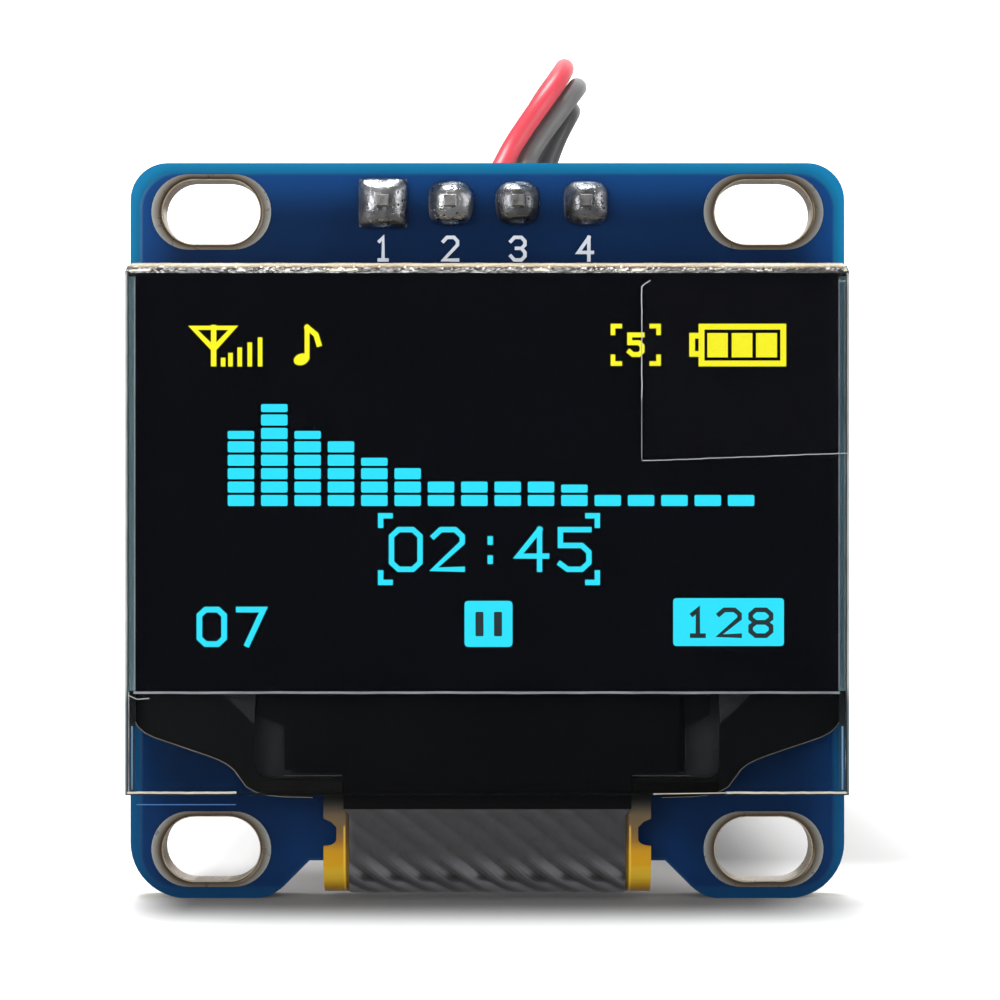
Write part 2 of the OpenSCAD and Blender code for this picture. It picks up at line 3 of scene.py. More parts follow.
import bpy
import numpy as np
from bpy.props import FloatProperty, FloatVectorProperty, PointerProperty
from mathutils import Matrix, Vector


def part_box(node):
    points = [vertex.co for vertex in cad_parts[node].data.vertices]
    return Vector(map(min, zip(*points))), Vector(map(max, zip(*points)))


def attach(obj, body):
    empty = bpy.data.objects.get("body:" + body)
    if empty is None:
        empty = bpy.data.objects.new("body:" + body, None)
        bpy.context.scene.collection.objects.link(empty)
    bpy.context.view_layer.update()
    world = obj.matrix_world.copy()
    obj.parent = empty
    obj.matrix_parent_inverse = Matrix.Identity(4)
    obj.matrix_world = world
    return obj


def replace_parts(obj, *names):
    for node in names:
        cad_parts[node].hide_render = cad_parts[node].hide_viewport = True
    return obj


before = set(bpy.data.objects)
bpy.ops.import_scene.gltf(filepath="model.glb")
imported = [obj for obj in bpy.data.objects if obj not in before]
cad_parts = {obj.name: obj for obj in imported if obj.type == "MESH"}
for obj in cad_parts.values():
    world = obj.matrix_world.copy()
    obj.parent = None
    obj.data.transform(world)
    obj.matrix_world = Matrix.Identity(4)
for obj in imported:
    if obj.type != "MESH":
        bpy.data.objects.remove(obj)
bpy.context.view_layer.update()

bl_info = {
    "name": "Small display module",
    "version": (1, 0, 0),
    "blender": (4, 5, 0),
    "location": "3D View > Sidebar > Display module",
    "description": "Gives a small graphic display module its looks, round its CAD frame",
    "category": "Object",
}

MM = 0.001  # one millimetre, in Blender's metres
ROOT = "root"

# Depths along Y, in millimetres, that the CAD part sets. The board's front face is at 0.
BOARD_T = 1.2
GLASS_BACK = -1.05
GLASS_FRONT = -1.75
POLARISER_FRONT = -1.93
TAB_FRONT = -2.02
FLEX_BACK = -0.89
FLEX_T = 0.1
COVER_T = 0.05
NOTCH_Z = -12.43
FOLD_Z = -12.45
BASE_Z = -13.85

# The four slots: the middle of each, half its straight run, and half its height.
SLOT_X, SLOT_Z, SLOT_RUN = 10.4, 12.0, 0.625


# ---- Colour and number helpers ----


def shade(code):
    """Turns a six-figure colour code into the linear red, green and blue that materials use."""
    channels = np.array([int(code[k:k + 2], 16) for k in (0, 2, 4)]) / 255
    linear = np.where(channels <= 0.04045, channels / 12.92, ((channels + 0.055) / 1.055) ** 2.4)
    return tuple(float(c) for c in linear)


def unit(vectors):
    """Scales each row to length one."""
    vectors = np.asarray(vectors, float)
    return vectors / np.linalg.norm(vectors, axis=-1, keepdims=True)


def waves(x, lengths, seed):
    """Adds one sine for each wavelength, with fixed random phases and weights, scaled to about -1 to 1."""
    draw = np.random.default_rng(seed)
    x = np.asarray(x, float)
    total = np.zeros_like(x)
    for length in lengths:
        total += draw.uniform(0.5, 1) * np.sin(2 * np.pi * x / length + draw.uniform(0, 2 * np.pi))
    return total / len(lengths)


# ---- Mesh helpers: every length here is in millimetres ----


def grid_faces(rows, columns, wrap_rows=False, wrap_columns=False):
    """Quads between each grid point, the next one along, the one diagonal to it and the next one down."""
    i = np.arange(rows if wrap_rows else rows - 1)[:, None]
    j = np.arange(columns if wrap_columns else columns - 1)[None, :]
    down, along = (i + 1) % rows, (j + 1) % columns
    corners = (i * columns + j, down * columns + j, down * columns + along, i * columns + along)
    return np.stack(np.broadcast_arrays(*corners), -1).reshape(-1, 4).tolist()


def end_caps(rows, columns):
    """The two faces that close a grid wrapped round its columns: first row in order, last in reverse."""
    last = (rows - 1) * columns
    return [list(range(columns)), list(range(last + columns - 1, last - 1, -1))]


class Heap:
    """Gathers closed solids into one mesh."""

    def __init__(self):
        self.points, self.faces, self.count = [], [], 0

    def add(self, points, faces):
        """Adds one solid's points, as rows of X, Y and Z, and its faces."""
        points = np.asarray(points, float).reshape(-1, 3)
        self.points.append(points)
        self.faces += [[k + self.count for k in face] for face in faces]
        self.count += len(points)

    def slab(self, outline, near, far):
        """A flat outline in X and Z carried from one depth to another: two flat caps and a belt of quads."""
        flat = np.asarray(outline, float)
        x, z = flat.T
        if np.dot(x, np.roll(z, -1)) < np.dot(z, np.roll(x, -1)):
            flat = flat[::-1]
        n = len(flat)
        front = np.column_stack([flat[:, 0], np.full(n, near), flat[:, 1]])
        back = np.column_stack([flat[:, 0], np.full(n, far), flat[:, 1]])
        belt = [[(k + 1) % n, k, n + k, n + (k + 1) % n] for k in range(n)]
        self.add(np.vstack([front, back]), [list(range(n)), list(range(2 * n - 1, n - 1, -1)), *belt])

    def stroke(self, line, width, near, far, square_ends=True):
        """A pen stroke: a four-cornered profile of the given width carried along the line, mitred at turns.

        Each point moves half the width along the sum of its two segments' normals, divided by one plus their
        dot product. A line that ends where it starts becomes a closed loop.
        """
        line = np.asarray(line, float)
        closed = np.allclose(line[0], line[-1])
        half = width / 2
        ahead = unit(np.diff(line, axis=0))
        if closed:
            line = line[:-1]
            before, after = np.roll(ahead, 1, axis=0), ahead
        else:
            if square_ends:
                line = line.copy()
                line[0] -= half * ahead[0]
                line[-1] += half * ahead[-1]
            before, after = np.vstack([ahead[:1], ahead]), np.vstack([ahead, ahead[-1:]])
        turn = np.array([[0, 1], [-1, 0]])
        n1, n2 = before @ turn, after @ turn
        mitre = half * (n1 + n2) / np.maximum(1 + (n1 * n2).sum(1, keepdims=True), 0.4)
        left, right = line + mitre, line - mitre
        n = len(line)
        corners = [(left, near), (right, near), (right, far), (left, far)]
        rings = np.stack([np.column_stack([c[:, 0], np.full(n, y), c[:, 1]]) for c, y in corners], 1)
        faces = grid_faces(n, 4, wrap_rows=closed, wrap_columns=True)
        if not closed:
            faces += end_caps(n, 4)
        self.add(rings, [face[::-1] for face in faces])

    def piece(self, name, finish, slot):
        """Makes the gathered solids one flat-shaded object at the origin that rides on the module."""
        piece(name, np.vstack(self.points), self.faces, finish, smooth=False)


def mesh_object(name, points, faces, finish, smooth=True):
    """Makes an object at the origin from points in metres."""
    mesh = bpy.data.meshes.new(name)
    mesh.from_pydata(np.asarray(points, float).reshape(-1, 3).tolist(), [], faces)
    mesh.polygons.foreach_set("use_smooth", np.full(len(mesh.polygons), smooth))
    mesh.materials.append(finish)
    mesh.update()
    made = bpy.data.objects.new(name, mesh)
    bpy.context.scene.collection.objects.link(made)
    return made


def piece(name, points, faces, finish, smooth=True):
    """Makes an object at the origin from points in millimetres, riding on the module."""
    made = mesh_object(name, np.asarray(points, float) * MM, faces, finish, smooth)
    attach(made, ROOT)
    return made


def rectangle(x0, z0, x1, z1, r=0.0, steps=4):
    """Outline of a rectangle whose corners are quarter circles of radius r."""
    if r <= 0:
        return np.array([[x0, z0], [x1, z0], [x1, z1], [x0, z1]])
    turn = np.linspace(0, np.pi / 2, steps + 1)
    corners = []
    middles = ((x1 - r, z0 + r, -0.5), (x1 - r, z1 - r, 0), (x0 + r, z1 - r, 0.5), (x0 + r, z0 + r, 1))
    for x, z, start in middles:
        a = turn + start * np.pi
        corners.append(np.column_stack([x + r * np.cos(a), z + r * np.sin(a)]))
    return np.vstack(corners)


def disc(x, z, rx, rz=None, steps=24, tilt=0.0):
    """Outline of an ellipse, turned by tilt."""
    a = np.linspace(0, 2 * np.pi, steps, endpoint=False)
    u, v = rx * np.cos(a), (rz or rx) * np.sin(a)
    return np.column_stack([x + u * np.cos(tilt) - v * np.sin(tilt), z + u * np.sin(tilt) + v * np.cos(tilt)])


def smooth_path(points, count):
    """A natural cubic spline through the points, measured along their chords, at count even steps.

    Each stretch is the straight blend of its two ends plus cubic terms in the blend shares, weighted by the
    second derivatives that make slope and curvature run on from stretch to stretch.
    """
    p = np.asarray(points, float)
    t = np.concatenate([[0], np.cumsum(np.linalg.norm(np.diff(p, axis=0), axis=1))])
    h = np.diff(t)
    n = len(p)
    a = np.zeros((n, n))
    b = np.zeros_like(p)
    a[0, 0] = a[-1, -1] = 1
    inner = np.arange(1, n - 1)
    a[inner, inner - 1], a[inner, inner], a[inner, inner + 1] = h[:-1], 2 * (h[:-1] + h[1:]), h[1:]
    slopes = np.diff(p, axis=0) / h[:, None]
    b[1:-1] = 6 * np.diff(slopes, axis=0)
    m = np.linalg.solve(a, b)
    at = np.linspace(0, t[-1], count)
    k = np.clip(np.searchsorted(t, at, side="right") - 1, 0, n - 2)
    w = h[k][:, None]
    v = ((at - t[k]) / h[k])[:, None]
    u = 1 - v
    return u * p[k] + v * p[k + 1] + w ** 2 / 6 * ((u ** 3 - u) * m[k] + (v ** 3 - v) * m[k + 1])


def tube(path, radius, sides=16):
    """A round profile carried along a path; each ring lies across the path's direction there."""
    path = np.asarray(path, float)
    ahead = unit(np.gradient(path, axis=0))
    across = unit(np.cross(ahead, [1.0, 0.0, 0.0]))
    up = np.cross(ahead, across)
    a = np.linspace(0, 2 * np.pi, sides, endpoint=False)
    ring = np.cos(a)[None, :, None] * across[:, None] + np.sin(a)[None, :, None] * up[:, None]
    points = path[:, None] + radius * ring
    faces = grid_faces(len(path), sides, wrap_columns=True) + end_caps(len(path), sides)
    return points, [face[::-1] for face in faces]


# ---- Material helper ----


class Finish:
    """A Principled material and the nodes that feed it."""

    def __init__(self, name, colour, roughness=0.5, **more):
        self.material = bpy.data.materials.new(name)
        self.material.use_nodes = True
        self.nodes = self.material.node_tree.nodes
        self.links = self.material.node_tree.links
        self.shader = self.nodes["Principled BSDF"]
        self.set("Base Color", colour)
        self.set("Roughness", roughness)
        for key, value in more.items():
            self.set(SOCKETS[key], value)

    def feed(self, socket, value):
        """Links a value that is another node's output, or sets a plain one."""
        if isinstance(value, bpy.types.NodeSocket):
            self.links.new(value, socket)
        elif value is not None:
            if socket.type == "RGBA" and len(value) == 3:
                value = (*value, 1.0)
            socket.default_value = value

    def set(self, name, value):
        """Sets or links one of the shader's own sockets."""
        self.feed(self.shader.inputs[name], value)

    def node(self, kind, *inputs, out=0, **settings):
        """Adds a node, feeds its inputs in order and returns one of its outputs."""
        made = self.nodes.new("ShaderNode" + kind)
        for key, value in settings.items():
            setattr(made, key, value)
        for socket, value in zip(made.inputs, inputs):
            self.feed(socket, value)
        return made.outputs[out]

    def math(self, operation, first, second=None, clamp=False):
        """One step of arithmetic."""
        return self.node("Math", first, second, operation=operation, use_clamp=clamp)

    def times(self, first, second):
        """One number multiplied by another."""
        return self.math("MULTIPLY", first, second)

    def plus(self, first, second):
        """One number added to another."""
        return self.math("ADD", first, second)

    def less(self, first, second):
        """One number taken from another: the first less the second."""
        return self.math("SUBTRACT", first, second)

    def mix(self, share, first, second, blend="MIX"):
        """Blends two colours by a share from 0 to 1."""
        made = self.nodes.new("ShaderNodeMix")
        made.data_type, made.blend_type = "RGBA", blend
        for index, value in ((0, share), (6, first), (7, second)):
            self.feed(made.inputs[index], value)
        return made.outputs[2]

    def span(self, value, low, high, to_low=0.0, to_high=1.0):
        """Goes evenly from one number to another as value goes from low to high, and no further."""
        return self.node("MapRange", value, low, high, to_low, to_high)

    def step(self, value, low, high, to_low=0.0, to_high=1.0):
        """Rises smoothly from one number to another as value goes from low to high."""
        return self.node("MapRange", value, low, high, to_low, to_high, interpolation_type="SMOOTHSTEP")

    def ramp(self, share, stops):
        """A run of colours: each stop is a place from 0 to 1 and a colour code."""
        made = self.nodes.new("ShaderNodeValToRGB")
        for _ in range(len(stops) - 2):
            made.color_ramp.elements.new(0.5)
        for stop, (at, code) in zip(made.color_ramp.elements, stops):
            stop.position, stop.color = at, (*shade(code), 1.0)
        self.links.new(share, made.inputs[0])
        return made.outputs[0]

    def place(self):
        """The point's place on the object, in metres."""
        return self.node("TexCoord", out=3)

    def axes(self):
        """The point's X, Y and Z, in metres."""
        made = self.nodes.new("ShaderNodeSeparateXYZ")
        self.links.new(self.place(), made.inputs[0])
        return made.outputs

    def facing(self, axis):
        """How far the surface faces along an axis, either way, from 0 to 1."""
        made = self.nodes.new("ShaderNodeSeparateXYZ")
        self.links.new(self.node("NewGeometry", out=1), made.inputs[0])
        return self.math("ABSOLUTE", made.outputs[axis])

    def noise(self, size_mm, detail=3.0, roughness=0.55, stretch=None):
        """Cloudy noise whose blots are about size_mm across, from 0 to 1."""
        place = self.place()
        if stretch:
            place = self.node("Mapping", place, None, None, stretch)
        return self.node("TexNoise", place, None, 0.7 / (size_mm * MM), detail, roughness)

    def cells(self, size_mm):
        """Cell pattern: the distance to the nearest of scattered points."""
        return self.node("TexVoronoi", self.place(), None, 1 / (size_mm * MM))

    def bump(self, height, depth_mm, strength=1.0):
        """Tilts the surface's shading as if height stood out by depth_mm."""
        made = self.nodes.new("ShaderNodeBump")
        made.inputs["Strength"].default_value = strength
        made.inputs["Distance"].default_value = depth_mm * MM
        self.links.new(height, made.inputs["Height"])
        self.set("Normal", made.outputs[0])


SOCKETS = {
    "metal": "Metallic",
    "alpha": "Alpha",
    "ior": "IOR",
    "coat": "Coat Weight",
    "coat_roughness": "Coat Roughness",
    "glow": "Emission Color",
    "glow_strength": "Emission Strength",
    "specular": "Specular IOR Level",
}


# ---- Materials ----


def mask_finish(look):
    """Glossy solder mask: deep blue over copper, lighter round the board's rim, laminate on cut edges.

    The rim is where the depth inside the board's outline is small. That depth is the distance to a rectangle
    with round corners, or to the notch's straight sides where these are nearer.
    """
    low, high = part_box("pcb")
    half_w, half_h = (high[0] - low[0]) / 2, (high[2] - low[2]) / 2
    corner, notch_half = 1.75 * MM, 6.7 * MM  # the outline's corner radius, and half the notch's width
    diagonal = 0.7071  # one side of a square over its diagonal
    made = Finish("solder_mask", look.mask, 0.2, coat=0.35, coat_roughness=0.05, specular=0.2)
    x, _, z = made.axes()
    side = made.math("ABSOLUTE", x)
    qx = made.less(side, half_w - corner)
    qz = made.less(made.math("ABSOLUTE", z), half_h - corner)
    outside = made.node("CombineXYZ", made.math("MAXIMUM", qx, 0.0), made.math("MAXIMUM", qz, 0.0), 0.0)
    length = made.node("VectorMath", outside, out=1, operation="LENGTH")
    inside = made.math("MINIMUM", made.math("MAXIMUM", qx, qz), 0.0)
    edge = made.less(made.plus(length, inside), corner)
    over = made.less(z, NOTCH_Z * MM)
    slope = made.times(made.plus(made.less(side, notch_half), over), diagonal)
    from_notch = made.plus(made.math("MAXIMUM", over, slope), 0.35 * MM)
    depth = made.math("MINIMUM", made.times(edge, -1.0), from_notch)
    rim = made.step(depth, look.rim_width * 1.25, look.rim_width * 0.8)
    # Painted light: the lighter rim and the halo inside it show fully toward the top and only faintly low down,
    # as light falls from above.
    low_part = made.step(z, BASE_Z * MM, -12.3 * MM, 0.12, 0.3)
    top_light_share = made.plus(low_part, made.step(z, -2 * MM, 4 * MM, 0.0, 0.7))
    cloud = made.noise(6, 4, 0.6)
    mask = made.mix(made.step(cloud, 0.3, 0.75), look.mask, tuple(c * 1.5 for c in look.mask))
    halo = made.times(made.step(depth, 2.2 * MM, 0.3 * MM), made.times(top_light_share, 0.5))
    mask = made.mix(halo, mask, shade("0E4482"))
    outer = made.mix(made.step(depth, 0.0, look.rim_width), look.rim, tuple(c * 0.7 for c in look.rim))
    face = made.mix(made.times(rim, top_light_share), mask, outer)
    cut = made.step(made.facing(1), 0.6, 0.3)
    fibres = made.mix(made.noise(0.12, 2), shade("66694C"), shade("98946F"))
    made.set("Base Color", made.mix(cut, face, fibres))
    made.set("Roughness", made.span(cut, 0.0, 1.0, 0.2, 0.7))
    grain = made.plus(made.times(rim, -1.0), made.times(made.noise(0.5, 3), 0.12))
    made.bump(grain, 0.015, 0.6)
    return made.material


def metal_finish(name, colour, roughness, grain_mm, depth_mm):
    """Metal with a fine uneven grain in its gloss and its surface."""
    made = Finish(name, colour, roughness, metal=1.0)
    grain = made.noise(grain_mm, 4, 0.6)
    spread = 0.12
    made.set("Roughness", made.span(grain, 0.25, 0.75, roughness - spread, roughness + spread))
    made.bump(grain, depth_mm, 0.7)
    return made.material


def plating_finish():
    """Tinned lands, grey outside, with painted shade in dark brown and bronze towards the hole and a painted
    cream highlight on its lip, where the land rounds in.

    The tone follows the distance from the slot's middle line, the same for all four slots by symmetry.
    """
    made = Finish("slot_tin", shade("9C9A95"), 0.3, metal=0.5)
    x, _, z = made.axes()
    from_middle = made.math("ABSOLUTE", made.less(made.math("ABSOLUTE", x), SLOT_X * MM))
    along = made.math("MAXIMUM", made.less(from_middle, SLOT_RUN * MM), 0.0)
    above = made.less(made.math("ABSOLUTE", z), SLOT_Z * MM)
    away = made.node("VectorMath", made.node("CombineXYZ", along, above, 0.0), out=1, operation="LENGTH")
    wander = made.times(made.noise(0.9, 3), 0.05 * MM)
    share = made.span(made.plus(away, wander), 1.18 * MM, 1.68 * MM)
    # Painted light and shade across the land: a cream highlight nearest the hole, then dark brown and bronze
    # shade, then the grey tin.
    ramp = made.ramp(share, (
        (0.0, "C4B698"), (0.13, "D0C3A8"), (0.2, "352A1F"), (0.32, "4C4136"), (0.45, "62594D"),
        (0.6, "74716A"), (0.8, "878986"), (0.94, "969997"), (1.0, "5C6061")))
    deep = made.step(made.facing(1), 0.6, 0.2)
    made.set("Base Color", made.mix(deep, ramp, shade("8F8474")))
    made.set("Roughness", made.span(made.noise(0.3, 3), 0.3, 0.7, 0.24, 0.42))
    made.bump(made.noise(0.4, 3), 0.006, 0.4)
    return made.material


def solder_finish():
    """Bright solder with grains and pits of flux."""
    made = Finish("solder", shade("9A9B9D"), 0.22, metal=1.0)
    speck = made.step(made.cells(0.16), 0.32, 0.12)
    patch = made.step(made.noise(0.7, 2), 0.45, 0.6)
    pits = made.times(speck, patch)
    tone = made.mix(made.step(made.noise(1.1, 3), 0.35, 0.65), shade("6E6F72"), shade("B4B5B8"))
    made.set("Base Color", made.mix(pits, tone, shade("4A4540")))
    made.set("Roughness", made.span(made.noise(0.4), 0.3, 0.7, 0.18, 0.45))
    height = made.plus(made.noise(0.45, 4, 0.65), made.times(pits, -0.5))
    made.bump(height, 0.09, 0.8)
    return made.material


def plastic_finish(name, colour, roughness, grain_mm=0.15, depth_mm=0.004, specular=0.5):
    """Moulded plastic with a fine even grain."""
    made = Finish(name, colour, roughness, specular=specular)
    grain = made.noise(grain_mm, 3)
    made.set("Roughness", made.span(grain, 0.2, 0.8, roughness - 0.06, roughness + 0.08))
    made.bump(grain, depth_mm, 0.6)
    return made.material


def glass_finish(look):
    """Clear glass seen through its faces, grey-green on its cut sides, and painted dark as shade on the cut
    edges that face up or down, of which the lower one shows.
    """
    made = Finish("panel_glass", look.glass, 0.03, ior=1.5)
    cut = made.step(made.facing(1), 0.8, 0.4)
    # Painted shade: the cut edges that face up or down are darkened, as the lower one faces away from the light
    # above.
    down = made.step(made.facing(2), 0.5, 0.8)
    made.set("Alpha", made.span(cut, 0.0, 1.0, 0.05, 0.75))
    made.set("Base Color", made.mix(cut, look.glass, made.mix(down, shade("566A70"), shade("101214"))))
    made.set("Roughness", made.span(cut, 0.0, 1.0, 0.03, 0.3))
    return made.material


def broken_finish():
    """The scored and broken edge of glass: a painted cream highlight on its upper line, darker brown below it,
    painted white glints on chips, then black.
    """
    made = Finish("broken_glass", shade("9A8F78"), 0.22, coat=0.5, coat_roughness=0.1)
    _, _, z = made.axes()
    rough = made.noise(0.35, 5, 0.7, stretch=(0.45, 1.0, 1.0))
    chips = made.step(made.noise(0.36, 4, 0.65, stretch=(0.6, 1.0, 1.0)), 0.54, 0.6)
    shifted = made.plus(z, made.times(made.less(rough, 0.5), 0.09 * MM))
    share = made.span(shifted, 9.55 * MM, 9.95 * MM)
    # Tone by height: black at the front, darker brown, then a painted cream highlight along the top, where light
    # from above falls.
    ground = made.ramp(share, (
        (0.0, "0C0B0A"), (0.12, "14120F"), (0.3, "2A251D"), (0.45, "3B3327"),
        (0.58, "6B5F48"), (0.68, "B7A98A"), (0.85, "DACDB0"), (1.0, "B9AB8C")))
    # Painted white glints, laid where the chips catch the light.
    glints = made.ramp(share, (
        (0.0, "0C0B0A"), (0.1, "3A362E"), (0.2, "C9C3B4"), (0.38, "A8A08E"),
        (0.52, "75694F"), (0.68, "C2B595"), (0.85, "E6DBC0"), (1.0, "B9AB8C")))
    made.set("Base Color", made.mix(chips, ground, glints))
    made.bump(rough, 0.08, 0.9)
    return made.material


def polariser_finish(look):
    """Smooth black film with the faintest unevenness."""
    made = Finish("polariser_film", look.dark, 0.1, specular=0.25)
    made.bump(made.noise(4, 2), 0.002, 0.5)
    return made.material


def clear_finish(name, colour, alpha, roughness):
    """Thin clear film that only adds a trace of gloss."""
    return Finish(name, colour, roughness, alpha=alpha, ior=1.4).material


def lit_finish(name, colour, strength):
    """An even glow that needs no light on it."""
    return Finish(name, (0.0, 0.0, 0.0), 0.6, glow=colour, glow_strength=strength, specular=0.0).material


def flex_finish():
    """Polyimide, amber, with painted light and shade down the neck: a painted highlight where the fold turns,
    and a painted dark reflection that turns it brown and nearly black up under the glass.
    """
    made = Finish("flex_polyimide", shade("B07E1A"), 0.35, specular=0.15)
    x, y, z = made.axes()
    share = made.span(z, -13.7 * MM, -9.0 * MM)
    # Painted light and shade by height: darker orange at the foot of the fold, a lighter band as a highlight
    # where it turns, then a painted dark reflection through brown to nearly black under the glass.
    front = made.ramp(share, (
        (0.0, "8A6008"), (0.08, "9C740E"), (0.16, "AC8C26"), (0.25, "A6841E"), (0.265, "A87C08"),
        (0.38, "9E730C"), (0.45, "7A571E"), (0.53, "5E4A2C"), (0.66, "4E4231"), (0.74, "262420"),
        (0.79, "0E0D0C"), (1.0, "060608")))
    side = made.math("ABSOLUTE", x)
    # A painted shadow next to the cover's edge, and a thin painted highlight line on the amber just outside it,
    # below the glass.
    shadow = made.times(made.step(side, 5.3 * MM, 5.24 * MM), 0.75)
    line = made.times(made.step(side, 5.38 * MM, 5.33 * MM), made.step(side, 5.27 * MM, 5.31 * MM))
    line = made.times(line, made.times(made.step(z, -10.9 * MM, -11.1 * MM), 0.6))
    front = made.mix(line, made.mix(shadow, front, shade("2B1E0C")), shade("C9A23A"))
    behind = made.step(y, 0.9 * MM, 1.1 * MM)
    tail = made.mix(made.noise(1.5), shade("8E620C"), shade("A87A18"))
    made.set("Base Color", made.mix(behind, front, tail))
    made.bump(made.noise(0.6, 3), 0.01, 0.4)
    return made.material


def cover_finish():
    """Dark matt ink over slanting tracks, with painted light and shade: paler on their ridges, darker in the
    hollows and creases, and a painted highlight on the ridges low on the fold.
    """
    made = Finish("cover_ink", shade("303134"), 0.42)
    dust = made.noise(0.18, 5, 0.7)
    ridge = made.node("Attribute", out=2, attribute_name="ridge")
    # Painted light and shade from the ridge height: lighter on the ridges, darker in the hollows and creases.
    tone = made.ramp(ridge, (
        (0.0, "101012"), (0.3, "272729"), (0.45, "29292B"), (0.75, "303033"), (1.0, "3A3A3E")))
    _, _, z = made.axes()
    # A painted highlight on the ridges low down, where the fold turns.
    low_part = made.times(made.step(z, -11.9 * MM, -12.9 * MM), made.step(ridge, 0.25, 0.6))
    tone = made.mix(made.times(low_part, 0.8), tone, shade("5C5C60"))
    speckle = made.mix(dust, (0.72, 0.72, 0.72), (1.25, 1.25, 1.25))
    made.set("Base Color", made.mix(1.0, tone, speckle, blend="MULTIPLY"))
    made.set("Roughness", made.span(dust, 0.3, 0.7, 0.34, 0.55))
    made.bump(dust, 0.008, 0.7)
    return made.material


def insulation_finish(name, colour):
    """Soft glossy insulation."""
    made = Finish(name, colour, 0.42, coat=0.12, coat_roughness=0.3)
    made.bump(made.noise(0.8, 2), 0.01, 0.4)
    return made.material


def finish_nodes(table):
    """Gives CAD nodes their materials. The table maps a material to the nodes that wear it."""
    for material, nodes in table:
        for node in nodes:
            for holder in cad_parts[node].material_slots:
                holder.material = material


def numbered(*names):
    """Each name with _1 to _4 after it."""
    return [f"{name}_{k}" for name in names for k in range(1, 5)]


# ---- What a user may change ----


class BoardLook(bpy.types.PropertyGroup):
    """Colours of the board and of what is printed on it."""

    mask: FloatVectorProperty(
        name="Solder mask", description="Colour of the solder mask over copper", subtype="COLOR",
        default=shade("041936"), min=0, max=1)
    rim: FloatVectorProperty(
        name="Rim", description="Colour of the mask round the edge, where no copper lies under it",
        subtype="COLOR", default=shade("08638C"), min=0, max=1)
    rim_width: FloatProperty(
        name="Rim width", description="Width of the rim without copper", subtype="DISTANCE",
        default=0.4 * MM, min=0.1 * MM, max=1 * MM, precision=5)
    print_colour: FloatVectorProperty(
        name="Print", description="Colour of the printed numbers and outlines", subtype="COLOR",
        default=shade("BCC2CC"), min=0, max=1)
    print_width: FloatProperty(
        name="Print line", description="Width of a printed line", subtype="DISTANCE",
        default=0.13 * MM, min=0.05 * MM, max=0.3 * MM, precision=5)


class DisplayLook(bpy.types.PropertyGroup):
    """Colours of the display panel."""

    upper: FloatVectorProperty(
        name="Upper band", description="Light of the upper quarter of the display", subtype="COLOR",
        default=shade("FFF92C"), min=0, max=1)
    lower: FloatVectorProperty(
        name="Lower band", description="Light of the rest of the display", subtype="COLOR",
        default=shade("33E4FE"), min=0, max=1)
    strength: FloatProperty(
        name="Brightness", description="How brightly the display is lit", default=1.05, min=0, max=5)
    dark: FloatVectorProperty(
        name="Dark display", description="Colour of the polariser where nothing is lit", subtype="COLOR",
        default=shade("0A0B0F"), min=0, max=1)
    glass: FloatVectorProperty(
        name="Glass", description="Tint of the panel's glass", subtype="COLOR",
        default=shade("101718"), min=0, max=1)


class LeadLook(bpy.types.PropertyGroup):
    """Size and colours of the leads."""

    diameter: FloatProperty(
        name="Diameter", description="Width of a lead over its insulation", subtype="DISTANCE",
        default=1.0 * MM, min=0.8 * MM, max=1.2 * MM, precision=5)
    red: FloatVectorProperty(
        name="Red lead", description="Colour of the first lead", subtype="COLOR",
        default=shade("C63A48"), min=0, max=1)
    black: FloatVectorProperty(
        name="Black leads", description="Colour of the second and fourth leads", subtype="COLOR",
        default=shade("3E3E40"), min=0, max=1)
    grey: FloatVectorProperty(
        name="Grey lead", description="Colour of the third lead", subtype="COLOR",
        default=shade("605F5F"), min=0, max=1)


class StageLook(bpy.types.PropertyGroup):
    """Light and floor of the studio."""

    floor: FloatVectorProperty(
        name="Floor", description="Colour of the floor and its backdrop", subtype="COLOR",
        default=(0.92, 0.92, 0.92), min=0, max=1)
    glow: FloatProperty(
        name="Floor glow", description="Light that the far floor and its backdrop give off",
        default=0.75, min=0, max=2)
    sky: FloatProperty(
        name="Room light", description="Strength of the even light from all round", default=0.3, min=0, max=3)
    key: FloatProperty(
        name="Key light", description="Power of the large lamp in front, in watts",
        default=0.7, min=0, max=10)
    top: FloatProperty(
        name="Top light", description="Power of the lamp overhead, in watts", default=1.3, min=0, max=10)
    fill: FloatProperty(
        name="Side lights", description="Power of the side and back lamps, in watts",
        default=0.3, min=0, max=10)
    lens: FloatProperty(
        name="Lens", description="Focal length of the camera, in millimetres", default=81.2, min=20, max=200)


class ModuleLook(bpy.types.PropertyGroup):
    """Everything that can be changed about the module's looks."""

    board: PointerProperty(type=BoardLook, name="Board", description="Colours of the board")
    display: PointerProperty(type=DisplayLook, name="Display", description="Colours of the display panel")
    leads: PointerProperty(type=LeadLook, name="Leads", description="Size and colours of the leads")
    stage: PointerProperty(type=StageLook, name="Stage", description="Light and floor of the studio")


def look():
    """The scene's settings for the module."""
    return bpy.context.scene.display_module


# ---- Stage ----


def lamp(name, place, aim, size, power):
    """A square area lamp at a place, in metres, that points at another."""
    data = bpy.data.lights.new(name, "AREA")
    data.shape, data.size, data.energy = "SQUARE", size, power
    made = bpy.data.objects.new(name, data)
    bpy.context.scene.collection.objects.link(made)
    made.location = place
    direction = bpy_vector(aim) - bpy_vector(place)
    made.rotation_euler = direction.to_track_quat("-Z", "Y").to_euler()


def bpy_vector(values):
    """Three numbers as Blender's own vector."""
    return type(bpy.context.scene.cursor.location)(values)


# The camera looks level at the module from in front, this far to the right, back and up of its middle.
CAMERA_PLACE = (0.475 * MM, -85 * MM, 1.15 * MM)

